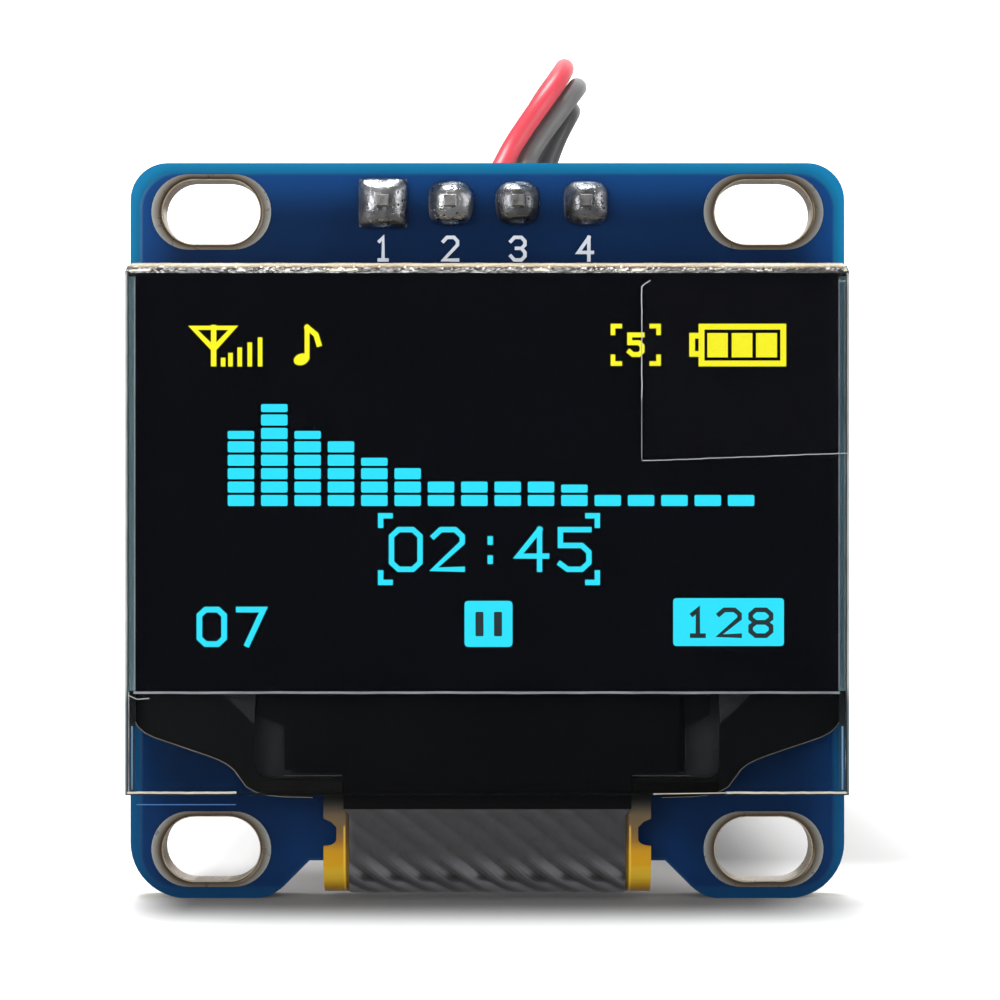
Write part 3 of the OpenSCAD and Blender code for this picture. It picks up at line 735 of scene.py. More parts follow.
# The floor, in metres: the radius of its flat part, that of the curve at its rim, and the wall's height.
FLOOR_FLAT, FLOOR_BEND, FLOOR_WALL = 0.45, 0.25, 0.15

# Each lamp's name, place in metres, size in metres and the setting that gives its power.
LAMPS = (
    ("key_lamp", (-0.2, -0.27, 0.06), 0.2, "key"), ("top_lamp", (-0.03, 0.05, 0.36), 0.14, "top"),
    ("right_lamp", (0.32, -0.12, 0.1), 0.2, "fill"), ("back_lamp", (0.06, 0.3, 0.16), 0.25, "fill"),
)


def set_camera(scene, lens):
    """Puts the camera in its place, level and facing along Y."""
    camera = bpy.data.cameras.new("camera")
    camera.lens, camera.sensor_width = lens, 36
    camera.clip_start, camera.clip_end = 0.002, 20
    holder = bpy.data.objects.new("camera", camera)
    scene.collection.objects.link(holder)
    holder.location = CAMERA_PLACE
    holder.rotation_euler = (math.pi / 2, 0, 0)
    scene.camera = holder


def set_room_light(scene, strength):
    """Even white light from all round."""
    world = bpy.data.worlds.new("room")
    world.use_nodes = True
    sky = world.node_tree.nodes["Background"]
    sky.inputs[0].default_value = (1, 1, 1, 1)
    sky.inputs[1].default_value = strength
    scene.world = world


def floor_paper(stage):
    """Pale paper that glows far off, with soft shadows drawn under, beside and in the notch of the board."""
    paper = Finish("floor_paper", stage.floor, 0.9, specular=0.0, glow=(1.0, 1.0, 1.0))
    far = paper.node("VectorMath", paper.place(), out=1, operation="LENGTH")
    paper.set("Emission Strength", paper.step(far, 0.1, 0.5, 0.0, stage.glow))
    x, y, _ = paper.axes()
    left = paper.step(x, -13.6 * MM, -10.8 * MM)
    right = paper.step(x, 14.5 * MM, 9.5 * MM)
    under = paper.times(paper.step(y, -6.1 * MM, -1 * MM), paper.step(y, 0.0, 9 * MM, 0.8, 0.35))
    under = paper.times(under, paper.times(left, right))
    beside = paper.times(paper.step(x, 4 * MM, 9 * MM), paper.step(x, 24 * MM, 15 * MM))
    beside = paper.times(beside, paper.step(y, 3 * MM, 10 * MM, 0.0, 0.45))
    notch = paper.times(paper.step(x, -10.5 * MM, -8 * MM), paper.step(x, -2 * MM, -5 * MM))
    notch = paper.times(notch, paper.step(y, 1 * MM, 6 * MM, 0.0, 0.27))
    shade_share = paper.math("ADD", under, paper.plus(beside, notch), clamp=True)
    shade_share = paper.times(shade_share, paper.step(y, 50 * MM, 24 * MM))
    paper.set("Base Color", paper.mix(shade_share, stage.floor, shade("2E2A2A")))
    return paper.material


def lay_floor(stage):
    """A flat disc whose rim curves up a quarter circle, turned about the module's middle."""
    turn = np.linspace(0, np.pi / 2, 13)
    bend, rim = FLOOR_BEND, FLOOR_FLAT + FLOOR_BEND
    radius = np.concatenate([[0.001, 0.05, 0.15, 0.3], FLOOR_FLAT + bend * np.sin(turn), [rim]])
    height = np.concatenate([np.zeros(4), bend - bend * np.cos(turn), [bend + FLOOR_WALL]]) + BASE_Z * MM
    around = np.linspace(0, 2 * np.pi, 96, endpoint=False)
    rows, columns = len(radius), len(around)
    level = np.broadcast_to(height[:, None], (rows, columns))
    points = np.stack([radius[:, None] * np.cos(around), radius[:, None] * np.sin(around), level], -1)
    faces = grid_faces(rows, columns, wrap_columns=True) + [list(range(columns))]
    floor = mesh_object("floor", points, faces, floor_paper(stage))
    floor.visible_glossy = False


def hang_card():
    """A dark card that only reflections see, so that the display's face stays dark."""
    edge, foot, top, ahead = 0.09, -0.08, 0.07, -0.33
    points = [(-edge, ahead, foot), (edge, ahead, foot), (edge, ahead, top), (-edge, ahead, top)]
    felt = Finish("card_felt", (0.0, 0.0, 0.0), 1.0, specular=0.0)
    card = mesh_object("dark_card", points, [[0, 3, 2, 1]], felt.material, smooth=False)
    card.visible_camera = card.visible_diffuse = card.visible_shadow = card.visible_transmission = False


class SetStage(bpy.types.Operator):
    """Sets up the camera, the soft lamps, a pale floor that curves up all round, and a dark card in front"""

    bl_idname = "display_module.set_stage"
    bl_label = "Set the stage"

    def execute(self, context):
        stage = look().stage
        scene = context.scene
        scene.view_settings.view_transform = "Standard"
        scene.view_settings.look = "None"
        set_camera(scene, stage.lens)
        set_room_light(scene, stage.sky)
        lay_floor(stage)
        hang_card()
        for name, place, size, setting in LAMPS:
            lamp(name, place, (0, 0, 0), size, getattr(stage, setting))
        return {"FINISHED"}


# ---- Leads ----

# The leads' centrelines in millimetres, the same points as the CAD part's.
LEAD_ROUTES = {
    1: (
        (-3.93, 13.5, 12.34), (-3.93, 18.4, 12.34), (-3.7, 20.46, 12.85), (-2.58, 22.47, 13.89),
        (-1.1, 24.06, 15.22), (0.18, 25.56, 16.83), (1.07, 27.07, 18.67), (2.37, 27.77, 20.72),
        (3.42, 29.27, 22.43), (3.8, 31.56, 23.45), (3.37, 34.12, 23.22), (2.21, 35.75, 21.68),
        (1.27, 35.78, 19.3), (0.16, 35.72, 17.01), (-1.13, 35.81, 14.82), (-2.39, 35.95, 12.61),
        (-3.35, 36.02, 10.25), (-3.96, 35.98, 7.78), (-4.33, 35.8, 5.27), (-4.56, 35.49, 2.75),
        (-4.73, 35.04, 0.25), (-4.85, 34.46, -2.23), (-4.92, 33.76, -4.68), (-4.93, 32.89, -7.07),
        (-4.91, 31.68, -9.31), (-4.85, 30.02, -11.24), (-4.8, 27.84, -12.52), (-4.8, 26, -12.6),
        (-4.8, 20.7, -12.6),
    ),
    2: (
        (-1.39, 13.5, 12.34), (-1.39, 18.4, 12.34), (-1.39, 20.41, 12.33), (-1.39, 22.45, 12.29),
        (-1.42, 24.49, 12.18), (-1.54, 26.51, 11.91), (-1.84, 28.47, 11.41), (-2.42, 30.28, 10.66),
        (-3.33, 31.81, 9.67), (-4.41, 33.17, 8.59), (-5.51, 34.5, 7.49), (-6.56, 35.82, 6.32),
        (-7.49, 37.05, 4.99), (-8.25, 38.13, 3.43), (-8.77, 39, 1.66), (-9, 39.55, -0.29),
        (-8.84, 39.69, -2.32), (-8.33, 39.46, -4.28), (-7.55, 38.96, -6.1), (-6.54, 38.25, -7.73),
        (-5.44, 37.29, -9.16), (-4.37, 36.05, -10.38), (-3.44, 34.54, -11.39), (-2.67, 32.8, -12.14),
        (-2.12, 30.89, -12.59), (-1.77, 28.88, -12.78), (-1.62, 26.85, -12.78), (-1.6, 25, -12.6),
        (-1.6, 19.2, -12.6),
    ),
    3: (
        (1.15, 13.5, 12.34), (1.15, 18.4, 12.34), (1.15, 20.49, 12.56), (1.27, 22.73, 13.45),
        (1.43, 24.63, 14.95), (1.54, 26.34, 16.68), (1.96, 27.93, 18.46), (3.19, 28.68, 20.38),
        (4.19, 30.2, 21.93), (4.43, 32.49, 22.56), (3.65, 34.59, 21.81), (2.53, 35.25, 19.83),
        (1.83, 35.06, 17.51), (1.4, 34.89, 15.13), (1.22, 34.76, 12.71), (1.22, 34.64, 10.28),
        (1.34, 34.51, 7.85), (1.5, 34.31, 5.43), (1.62, 34.04, 3.02), (1.65, 33.63, 0.62),
        (1.63, 33.08, -1.74), (1.6, 32.34, -4.06), (1.59, 31.39, -6.29), (1.6, 30.15, -8.38),
        (1.6, 28.58, -10.24), (1.6, 26.67, -11.73), (1.6, 24.42, -12.62), (1.6, 22.6, -12.6),
        (1.6, 16.2, -12.6),
    ),
    4: (
        (3.69, 13.5, 12.34), (3.69, 18.4, 12.34), (3.65, 20.5, 12.54), (3.58, 22.71, 13.24),
        (3.39, 24.71, 14.38), (2.97, 26.64, 15.59), (2.59, 28.44, 16.98), (3.1, 29.42, 18.97),
        (3.93, 30.56, 20.72), (4.09, 32.73, 21.27), (3.37, 34.25, 19.93), (2.74, 34.25, 17.77),
        (2.74, 34.02, 15.49), (3.23, 33.71, 13.24), (3.82, 33.45, 11.01), (4.27, 33.25, 8.75),
        (4.57, 33.07, 6.46), (4.76, 32.87, 4.16), (4.87, 32.6, 1.85), (4.91, 32.24, -0.44),
        (4.91, 31.74, -2.7), (4.88, 31.07, -4.92), (4.84, 30.16, -7.05), (4.81, 28.95, -9.02),
        (4.79, 27.38, -10.72), (4.8, 25.46, -12.01), (4.8, 23.25, -12.7), (4.8, 21.4, -12.6),
        (4.8, 14.7, -12.6),
    ),
}


class MakeLeads(bpy.types.Operator):
    """Makes the leads: a round profile carried along a cubic spline through each route's points"""

    bl_idname = "display_module.make_leads"
    bl_label = "Make the leads"

    def execute(self, context):
        leads = look().leads
        black = insulation_finish("black_pvc", leads.black)
        finishes = {
            1: (insulation_finish("red_pvc", leads.red), "red_insulation"), 2: (black, "black_insulation"),
            3: (insulation_finish("grey_pvc", leads.grey), "grey_insulation"), 4: (black, "black_insulation"),
        }
        for k, route in LEAD_ROUTES.items():
            path = smooth_path(route, 150)
            points, faces = tube(path, leads.diameter / MM / 2)
            finish, slot = finishes[k]
            made = piece(f"lead_skin_{k}", points, faces, finish)
            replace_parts(made, f"lead_{k}")
        return {"FINISHED"}


# ---- Board and header ----


# The board's corners: top or bottom, left or right.
CORNERS = ("tl", "tr", "bl", "br")


class FinishBoard(bpy.types.Operator):
    """Gives the board, its lands and the small parts on its back their materials"""

    bl_idname = "display_module.finish_board"
    bl_label = "Finish the board"

    def execute(self, context):
        tin = metal_finish("tinned_leads", shade("C4C4C6"), 0.3, 0.3, 0.01)
        finish_nodes((
            (mask_finish(look().board), ["pcb"]),
            (plating_finish(), [f"slot_plating_{corner}" for corner in CORNERS] + ["header_pads"]),
            (plastic_finish("package_resin", shade("202022"), 0.5), ["regulator_body", "diode_body"]),
            (tin, ["regulator_leads", "diode_leads", "chip_terminals"]),
            (plastic_finish("capacitor_clay", shade("A5845A"), 0.45, 0.1, 0.006), ["capacitors"]),
            (plastic_finish("resistor_glaze", shade("17171A"), 0.25), ["resistors"]),
        ))
        return {"FINISHED"}


class FinishHeader(bpy.types.Operator):
    """Gives the pins, their bar and the plugs their materials"""

    bl_idname = "display_module.finish_header"
    bl_label = "Finish the header"

    def execute(self, context):
        finish_nodes((
            (metal_finish("pin_tin", shade("C9C8C6"), 0.3, 0.3, 0.01), numbered("header_pin")),
            (plastic_finish("plug_nylon", shade("1B1B1D"), 0.38),
             ["header_spacer"] + numbered("plug", "far_plug")),
            (metal_finish("contact_tin", shade("C9C3AF"), 0.3, 0.3, 0.008),
             numbered("plug_contact", "far_contact")),
        ))
        return {"FINISHED"}


PIN_X = (-3.93, -1.39, 1.15, 3.69)
PIN_Z = 12.34


def solder_blob(k, half, squareness, lean):
    """One solder joint: a waisted cone whose cross-section runs from a rounded square up to the pin.

    A ring's radius is its half width divided by the squareness-norm of its direction, so a high squareness
    gives a square and two gives a circle. Low sine waves round the joint and up it make the surface uneven.
    """
    around = np.linspace(0, 2 * np.pi, 72, endpoint=False)
    climb = np.array([0, 0.1, 0.2, 0.32, 0.44, 0.56, 0.68, 0.78, 0.86, 0.92, 0.97, 1.0])
    waist = [1, 0.985, 0.88, 0.74, 0.6, 0.46, 0.3 / half]
    width = np.interp(climb, [0, 0.2, 0.45, 0.7, 0.86, 0.95, 1], waist)
    norm = squareness + (2.4 - squareness) * climb[:, None] ** 0.8
    cos, sin = np.abs(np.cos(around)), np.abs(np.sin(around))
    radius = half * width[:, None] / (cos ** norm + sin ** norm) ** (1 / norm)
    ripple = waves(around * 4, (25.1, 12.57, 8.38, 5.03), 10 + k)[None]
    ripple = ripple * np.sin(np.pi * climb)[:, None] * 0.07
    radius = radius * (1 + ripple)
    sway = lean * climb[:, None] * (1 - climb[:, None]) * 2
    x = PIN_X[k - 1] + radius * np.cos(around) + sway
    z = PIN_Z + radius * np.sin(around) - 0.06 * np.sin(np.pi * climb)[:, None]
    y = np.broadcast_to(-0.045 - 0.72 * climb[:, None] ** 0.9, radius.shape)
    points = np.stack([x, y, z], -1)
    rows, columns = radius.shape
    faces = grid_faces(rows, columns, wrap_columns=True) + end_caps(rows, columns)
    return points, [face[::-1] for face in faces]


class SolderPins(bpy.types.Operator):
    """Makes the solder joints: rings that go from a rounded square on the board to the pin's tip"""

    bl_idname = "display_module.solder_pins"
    bl_label = "Solder the pins"

    def execute(self, context):
        finish = solder_finish()
        finish_nodes(((finish, ["flex_solder"]),))
        # Each joint's half width, squareness and lean.
        shapes = ((0.92, 9.0, 0.0), (0.83, 3.4, 0.12), (0.81, 3.2, -0.1), (0.82, 3.6, 0.1))
        for k, (half, squareness, lean) in enumerate(shapes, 1):
            points, faces = solder_blob(k, half, squareness, lean)
            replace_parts(piece(f"solder_blob_{k}", points, faces, finish), f"solder_joint_{k}")
        return {"FINISHED"}


# Pen strokes of the plain numbers, on a grid four wide and six high.
STROKES = {
    "0": (((1, 0), (3, 0), (4, 1), (4, 5), (3, 6), (1, 6), (0, 5), (0, 1), (1, 0)),),
    "1": (((1, 5), (2, 6), (2, 0)), ((0.9, 0), (3.1, 0))),
    "2": (((0, 5), (1, 6), (3, 6), (4, 5), (4, 4), (0, 0), (4, 0)),),
    "3": (((0, 5), (1, 6), (3, 6), (4, 5), (4, 4), (3, 3.1), (4, 2), (4, 1), (3, 0), (1, 0), (0, 1)),
          ((1.6, 3.1), (3, 3.1))),
    "4": (((3, 0), (3, 6)), ((3, 6), (0, 2), (4, 2))),
    "5": (((4, 6), (0, 6), (0, 3.6), (3, 3.6), (4, 2.6), (4, 1), (3, 0), (1, 0), (0, 0.8)),),
    "7": (((0, 6), (4, 6), (1.4, 0)),),
    "8": (((1, 3.1), (0, 4), (0, 5), (1, 6), (3, 6), (4, 5), (4, 4), (3, 3.1), (1, 3.1)),
          ((1, 3.1), (0, 2.2), (0, 1), (1, 0), (3, 0), (4, 1), (4, 2.2), (3, 3.1), (1, 3.1))),
    ":": (((2, 1.2), (2, 1.7)), ((2, 4.1), (2, 4.6))),
}


def write_number(heap, text, x, z, width, height, pitch, line, near, far):
    """Writes figures from x rightwards, each stroke a slab of the given line width."""
    scale = np.array([(width - line) / 4, (height - line) / 6])
    for k, figure in enumerate(text):
        corner = np.array([x + k * pitch + line / 2, z + line / 2])
        for step, stroke in enumerate(STROKES[figure]):
            heap.stroke(corner + np.array(stroke) * scale, line, near - 0.002 * step, far)


# Width and height of a pin's printed number.
FIGURE_W, FIGURE_H = 0.66, 0.98


class PrintLabels(bpy.types.Operator):
    """Prints plain pin numbers on both faces, and outlines round the parts on the back, as thin raised ink"""

    bl_idname = "display_module.print_labels"
    bl_label = "Print the labels"

    def execute(self, context):
        board = look().board
        line = board.print_width / MM
        ink = Finish("label_ink", board.print_colour, 0.5)
        worn = tuple(c * 0.75 for c in board.print_colour)
        ink.set("Base Color", ink.mix(ink.noise(0.3), board.print_colour, worn))
        front = Heap()
        for k, x in enumerate(PIN_X):
            write_number(front, str(k + 1), x - FIGURE_W / 2, 10.13, FIGURE_W, FIGURE_H, 0, line, -0.015, 0)
        front.piece("front_print", ink.material, "board")
        glint = Heap()
        glint.stroke([(-13.2, -10.33), (-9.5, -10.33)], 0.035, -0.012, 0)
        glint.piece("mask_glint", Finish("lit_mask", shade("3C69A6"), 0.3).material, "board")

        back = Heap()
        near, far, thin = BOARD_T, BOARD_T + 0.015, line * 0.75
        for k, x in enumerate(PIN_X):
            # Seen from behind, so each figure is turned round.
            scale = np.array([-FIGURE_W + thin, FIGURE_H - thin]) / (4, 6)
            for step, stroke in enumerate(STROKES[str(k + 1)]):
                line_at = np.array([x + 0.3, 9.75]) + np.array(stroke) * scale
                back.stroke(line_at, thin, near, far + 0.002 * step)
        header = [(-5.5, 10.95), (-5.5, 13.65), (5.26, 13.65), (5.26, 10.95), (-5.5, 10.95)]
        back.stroke(header, thin, near, far)
        for x, z, flat in CHIP_PLACES:
            long, wide = 1.45, 0.62
            u, v = (long, wide) if flat else (wide, long)
            for side in (-1, 1):
                ends = [(x - u, z + side * v), (x + u, z + side * v)] if flat else [
                    (x + side * u, z - v), (x + side * u, z + v)]
                back.stroke(ends, thin, near, far)
        for x, z, u, v in ((-8.4, 6.6, 1.75, 1.6), (8.8, 5.4, 0.95, 1.85)):
            back.stroke([(x - u, z - v), (x + u, z - v), (x + u, z + v), (x - u, z + v), (x - u, z - v)],
                        thin, near, far)
        back.stroke([(8.1, 7.45), (9.5, 7.45)], thin * 1.6, near, far)
        back.piece("rear_print", ink.material, "board")
        return {"FINISHED"}


# The chip parts on the back: X, Z and whether they lie along X.
CHIP_PLACES = (
    (-8.6, -3, False), (-6.5, -3, False), (-4.4, -3, False), (-2.3, -3, False), (2.1, -3, False),
    (4.2, -3, False), (-8.4, 10, True), (-8.4, 3.4, True), (-0.1, -3, False), (6.3, -3, False), (8.5, -3, False),
    (-3.6, 8.4, False), (-1.2, 8.4, False), (4.6, 8.2, True), (3.4, 3.6, True),
)

JOINT_PITCH = 0.62  # between the flexible circuit's solder joints


def nearest_joint(x):
    """X of the flexible circuit's joint nearest to x: the joints lie half a pitch off whole pitches."""
    return round((x / JOINT_PITCH) - 0.5) * JOINT_PITCH + JOINT_PITCH / 2


# Copper tracks on the back, as X and Z of their turns.
TRACKS = (
    ((-3.93, 11), (-3.93, 9.9), (-3.6, 9.57)), ((-1.39, 11), (-1.39, 9.9), (-1.2, 9.6)),
    ((1.15, 11), (1.15, 5.4), (0.4, 4.6), (0.4, -0.6), (-0.1, -1.1), (-0.1, -1.7)),
    ((3.69, 11), (3.69, 9.6), (3.35, 9.2), (3.35, 8.2)),
    ((-3.6, 7.2), (-3.6, 1.2), (-4.4, 0.4), (-4.4, -1.7)),
    ((-1.2, 7.2), (-1.2, 0.4), (-2.3, -0.7), (-2.3, -1.7)), ((5.85, 8.2), (7.0, 8.2), (8.8, 6.9)),
    ((8.8, 3.9), (8.8, 0.6), (8.5, 0.3), (8.5, -1.7)), ((4.65, 3.6), (6.3, 2.0), (6.3, -1.7)),
    ((2.15, 3.6), (2.1, 3.5), (2.1, -1.7)), ((-9.35, 5.2), (-9.65, 4.9), (-9.65, 3.4)),
    ((-7.15, 3.4), (-6.5, 2.8), (-6.5, -1.7)), ((-8.4, 7.9), (-8.4, 8.6), (-9.65, 9.9)),
    ((-8.6, -1.7), (-8.6, 1.4), (-7.15, 2.9)), ((4.2, -1.7), (4.2, 0.9), (3.4, 1.7)),
    *(((x, -4.25), (x, -4.5), (nearest_joint(x), -4.95), (nearest_joint(x), -5.35))
      for x in (-8.6, -6.5, -4.4, -2.3, -0.1, 2.1, 4.2, 6.3, 8.5)),
)
VIAS = ((-3.6, 3.2), (0.4, 1.9), (3.4, 1.7), (5.6, 5.2), (-5.2, 9.6), (6.7, 10.2), (-5.8, 5.4), (2.3, 6.6),
        (10.9, -0.6), (-10.9, -0.6), (10.4, 3.2), (-1.2, 2.2), (11.2, 7.6), (-11.3, 7.8), (10.6, -5.0),
        (-10.6, -5.0))


class LayTracks(bpy.types.Operator):
    """Lays copper tracks and vias on the back: flat strips carried along their turns, under the same mask"""

    bl_idname = "display_module.lay_tracks"
    bl_label = "Lay the tracks"

    def execute(self, context):
        board = look().board
        raised = tuple(c * 1.9 + 0.004 for c in board.mask)
        over = Finish("mask_over_track", raised, 0.2, coat=0.5, coat_roughness=0.06)
        heap = Heap()
        for track in TRACKS:
            heap.stroke(track, 0.28, BOARD_T, BOARD_T + 0.012)
        for x, z in VIAS:
            loop = disc(x, z, 0.22, steps=16)
            heap.stroke(np.vstack([loop, loop[:1]]), 0.16, BOARD_T, BOARD_T + 0.014)
        heap.piece("rear_tracks", over.material, "board")
        return {"FINISHED"}


# ---- Display panel ----


class FinishPanel(bpy.types.Operator):
    """Gives the panel's glass, films, seal and foam their materials"""

    bl_idname = "display_module.finish_panel"
    bl_label = "Finish the panel"

    def execute(self, context):
        display = look().display
        finish_nodes((
            (glass_finish(display), ["front_glass", "cap_glass"]),
            (polariser_finish(display), ["polariser"]),
            (clear_finish("peel_film", (0.02, 0.02, 0.025), 0.04, 0.08), ["protective_film", "film_tab"]),
            (plastic_finish("seal_resin", shade("7C9EA5"), 0.6, specular=0.2), ["edge_seal"]),
            (plastic_finish("emitter_stack", shade("07080A"), 0.3, specular=0.1), ["emitter_layer"]),
            (plastic_finish("foam", shade("1E1F21"), 0.9, 0.25, 0.02, 0.2), ["foam_tape"]),
            (plastic_finish("resin", shade("060709"), 0.35, 1.5, 0.01, 0.08),
             ["chip_coating", "driver_chip"]),
            (plastic_finish("bond", shade("0D0C0B"), 0.5, specular=0.1), ["bond_strips"]),
        ))
        return {"FINISHED"}


class BreakTopEdge(bpy.types.Operator):
    """Makes the scored top edge: a sloping strip whose surface is pushed in and out by chips and waves"""

    bl_idname = "display_module.break_top_edge"
    bl_label = "Break the top edge"

    def execute(self, context):
        low, high = np.array(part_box("front_glass")) / MM
        columns, rows = 700, 9
        x = np.linspace(low[0] - 0.01, high[0] + 0.01, columns)
        # The slope in depth and height, from the face's top edge to the back.
        y0 = np.interp(np.linspace(0, 1, rows), [0, 0.4, 1], [GLASS_FRONT - 0.012, -1.62, -1.15])
        z0 = np.interp(np.linspace(0, 1, rows), [0, 0.4, 1], [9.53, 9.72, 9.96])
        across = np.linspace(0, 1, rows)
        coarse = waves(x, (4.1, 2.3, 1.3), 3)
        chips = np.stack([waves(x + 0.21 * k, (0.9, 0.53, 0.31, 0.19), 40 + k) for k in range(rows)], 1)
        push = 0.015 * coarse[:, None] + 0.06 * chips * np.sin(np.pi * np.clip(across, 0.08, 0.94))[None]
        ends = np.clip((13.36 - np.abs(x)) / 0.15, 0, 1)
        y = y0[None] - np.abs(push) * 0.5
        z = z0[None] + push * 0.6 - 0.16 * (1 - ends)[:, None] * across[None]
        run = np.broadcast_to(x[:, None], y.shape)
        outer = np.stack([run, y, z], -1)
        inner = np.stack([run, y0[None] + 0.1 + 0 * y, z0[None] - 0.12 + 0 * z], -1)
        rings = np.concatenate([outer, inner[:, ::-1]], 1)
        faces = grid_faces(columns, 2 * rows, wrap_columns=True) + end_caps(columns, 2 * rows)
        piece("scored_edge", rings, faces, broken_finish(), smooth=False)
        return {"FINISHED"}


# The flexible circuit's edge behind the glass, left side, from the top.
FLARE_EDGE = ((-13.2, -6.92), (-13.03, -7.25), (-12.76, -7.51), (-12.4, -7.69), (-10.4, -8.37),
              (-9.99, -8.53), (-9.67, -8.7), (-9.43, -8.9), (-9.27, -9.12), (-8.97, -9.53), (-8.62, -9.72),
              (-8.17, -9.845), (-7.6, -9.895), (-6.5, -9.925))


SIDES = (-1, 1)

# Where the glass's side edges end, and the near faces of the lit chamfers and of the shadows inside them.
GLASS_FOOT = -9.7
CHAMFER_NEAR, SHADOW_NEAR = GLASS_FRONT - 0.012, GLASS_FRONT - 0.009

# The peel tab's left side, and the depths of the painted highlight lines on its edge.
TAB_X = 5.69
TAB_LINE = (TAB_FRONT - 0.008, TAB_FRONT + 0.01)


def worn_finish(name, base, roughness, blot_mm, dark, light, grain=0.55, detail=4, **more):
    """An edge whose tone wanders between dark and light, in blots about blot_mm long."""
    made = Finish(name, shade(base), roughness, **more)
    made.set("Base Color", made.mix(made.noise(blot_mm, detail, grain), shade(dark), shade(light)))
    return made.material


def side_glass_finish():
    """Ground glass, pale beside the display and darker below it."""
    made = Finish("ground_glass", shade("8E9494"), 0.4, specular=0.2)
    worn = made.mix(made.noise(0.9, 4), shade("5E6668"), shade("9A9D99"))
    below = made.step(made.axes()[2], -5.6 * MM, -6.4 * MM)
    made.set("Base Color", made.mix(below, worn, shade("474E51")))
    return made.material


def inner_edge_shade_finish():
    """Painted shade for the glass's lower side edge seen from within: dark at its top and a dull blue lower
    down.
    """
    made = Finish("edge_inside", shade("1A1C1F"), 0.5, specular=0.1)
    fall = made.span(made.axes()[2], -6 * MM, -9.7 * MM)
    tones = ((0.0, "17191B"), (0.3, "1C2226"), (0.45, "24384C"), (1.0, "2B4660"))
    made.set("Base Color", made.ramp(fall, tones))
    return made.material


def trim_chamfers():
    """Chamfers down the glass's sides and along its lower edge, each with a thin shadow inside it."""
    pale = side_glass_finish()
    murk = Finish("glass_shadow", shade("14191B"), 0.3).material
    ground, lower, shadow = Heap(), Heap(), Heap()
    z, far = np.linspace(GLASS_FOOT, 9.5, 60), GLASS_FRONT + 0.06
    for side in SIDES:
        outer = side * 13.318 + 0.006 * waves(z, (5.0, 1.7, 0.8), 7)
        ground.stroke(np.column_stack([outer, z]), 0.075, CHAMFER_NEAR, far)
        shadow.stroke(np.column_stack([outer - side * 0.06, z]), 0.04, SHADOW_NEAR, far)
    ground.piece("glass_side_chamfers", pale, "glass")

    # The lower chamfer is painted cream as a highlight where light catches it, with a wandering worn tone.
    cream = worn_finish("lit_chamfer", "C9C2B0", 0.35, 0.7, "6E685B", "CFC9BA", 0.7, detail=5)
    far = GLASS_FRONT + 0.05
    for x0, x1 in ((-13.3, -9.3), (8.85, 13.3)):
        x = np.linspace(x0, x1, 50)
        wander = -9.655 + 0.01 * waves(x, (3.1, 1.1, 0.5), 9)
        lower.stroke(np.column_stack([x, wander]), 0.075, CHAMFER_NEAR, far)
        shadow.stroke([(x0, -9.72), (x1, -9.72)], 0.045, SHADOW_NEAR, far)
    lower.stroke([(6.15, -9.7), (8.85, -9.66)], 0.03, CHAMFER_NEAR, far)
    lower.piece("glass_lower_chamfer", cream, "glass")
    shadow.piece("glass_edge_shadows", murk, "glass")


def trim_film_highlights():
    """Painted highlights: bright lines where the films' edges lift and catch the light, down and along the peel
    tab, and at two corners.
    """
    bright = worn_finish("film_edge_bright", "D9DCE0", 0.25, 0.5, "63666B", "B9BCC0", 0.7)
    lines = Heap()
    z = np.linspace(9.0, 4.9, 24)
    tab_side = np.column_stack([TAB_X + 0.012 * waves(z, (2.2, 0.9), 5), z])
    lines.stroke(np.vstack([[(5.99, 9.22), (5.8, 9.1)], tab_side]), 0.038, *TAB_LINE)
    x = np.linspace(5.72, 13.3, 40)
    tab_foot = 2.59 + 0.038 * (x - 5.72) + 0.014 * waves(x, (3.0, 1.2, 0.6), 6)
    lines.stroke(np.column_stack([x, tab_foot]), 0.03, *TAB_LINE)
    x = np.linspace(-13.236, -12.48, 12)
    bow = np.interp(x, [-13.236, -12.92, -12.48], [-6.057, -6.205, -6.168])
    lines.stroke(np.column_stack([x, bow]), 0.03, GLASS_FRONT - 0.03, GLASS_FRONT - 0.012)
    lines.stroke([(13.0, 9.23), (13.22, 9.23)], 0.028, GLASS_FRONT - 0.02, GLASS_FRONT - 0.005)
    lines.piece("film_edges_bright", bright, "film")


def trim_flex_edges():
    """Light caught along the flexible circuit's edge behind the glass, in a thinner line on the right."""
    edge = worn_finish("flex_edge", "8C8375", 0.4, 0.8, "3E3B37", "8E8779", specular=0.2)
    rims = Heap()
    near, far = GLASS_BACK - 0.004, GLASS_BACK + 0.05
    rims.stroke(FLARE_EDGE, 0.024, near, far, square_ends=False)
    rims.stroke(np.array(FLARE_EDGE)[::-1] * (-1, 1), 0.013, near, far, square_ends=False)
    rims.piece("flex_edge_lines", edge, "flex_film")


def trim_inner_edges():
    """A strip of painted shade inside the ground edge, where the glass overhangs the board, and a painted glint
    down each one.
    """
    inside = inner_edge_shade_finish()
    inner_shade, glow = Heap(), Heap()
    near = GLASS_BACK - 0.01
    for side in SIDES:
        x = side * 13.215
        inner_shade.stroke([(x, GLASS_FOOT), (x, -5.95)], 0.24, near, GLASS_BACK + 0.03, square_ends=False)
        glow.stroke([(side * 13.22, -7.3), (side * 13.22, -9.6)], 0.06, near - 0.004, near)
    inner_shade.piece("glass_inner_edges", inside, "glass")
    glow.piece("glass_edge_glints", Finish("edge_glint", shade("6F97B4"), 0.4).material, "glass")


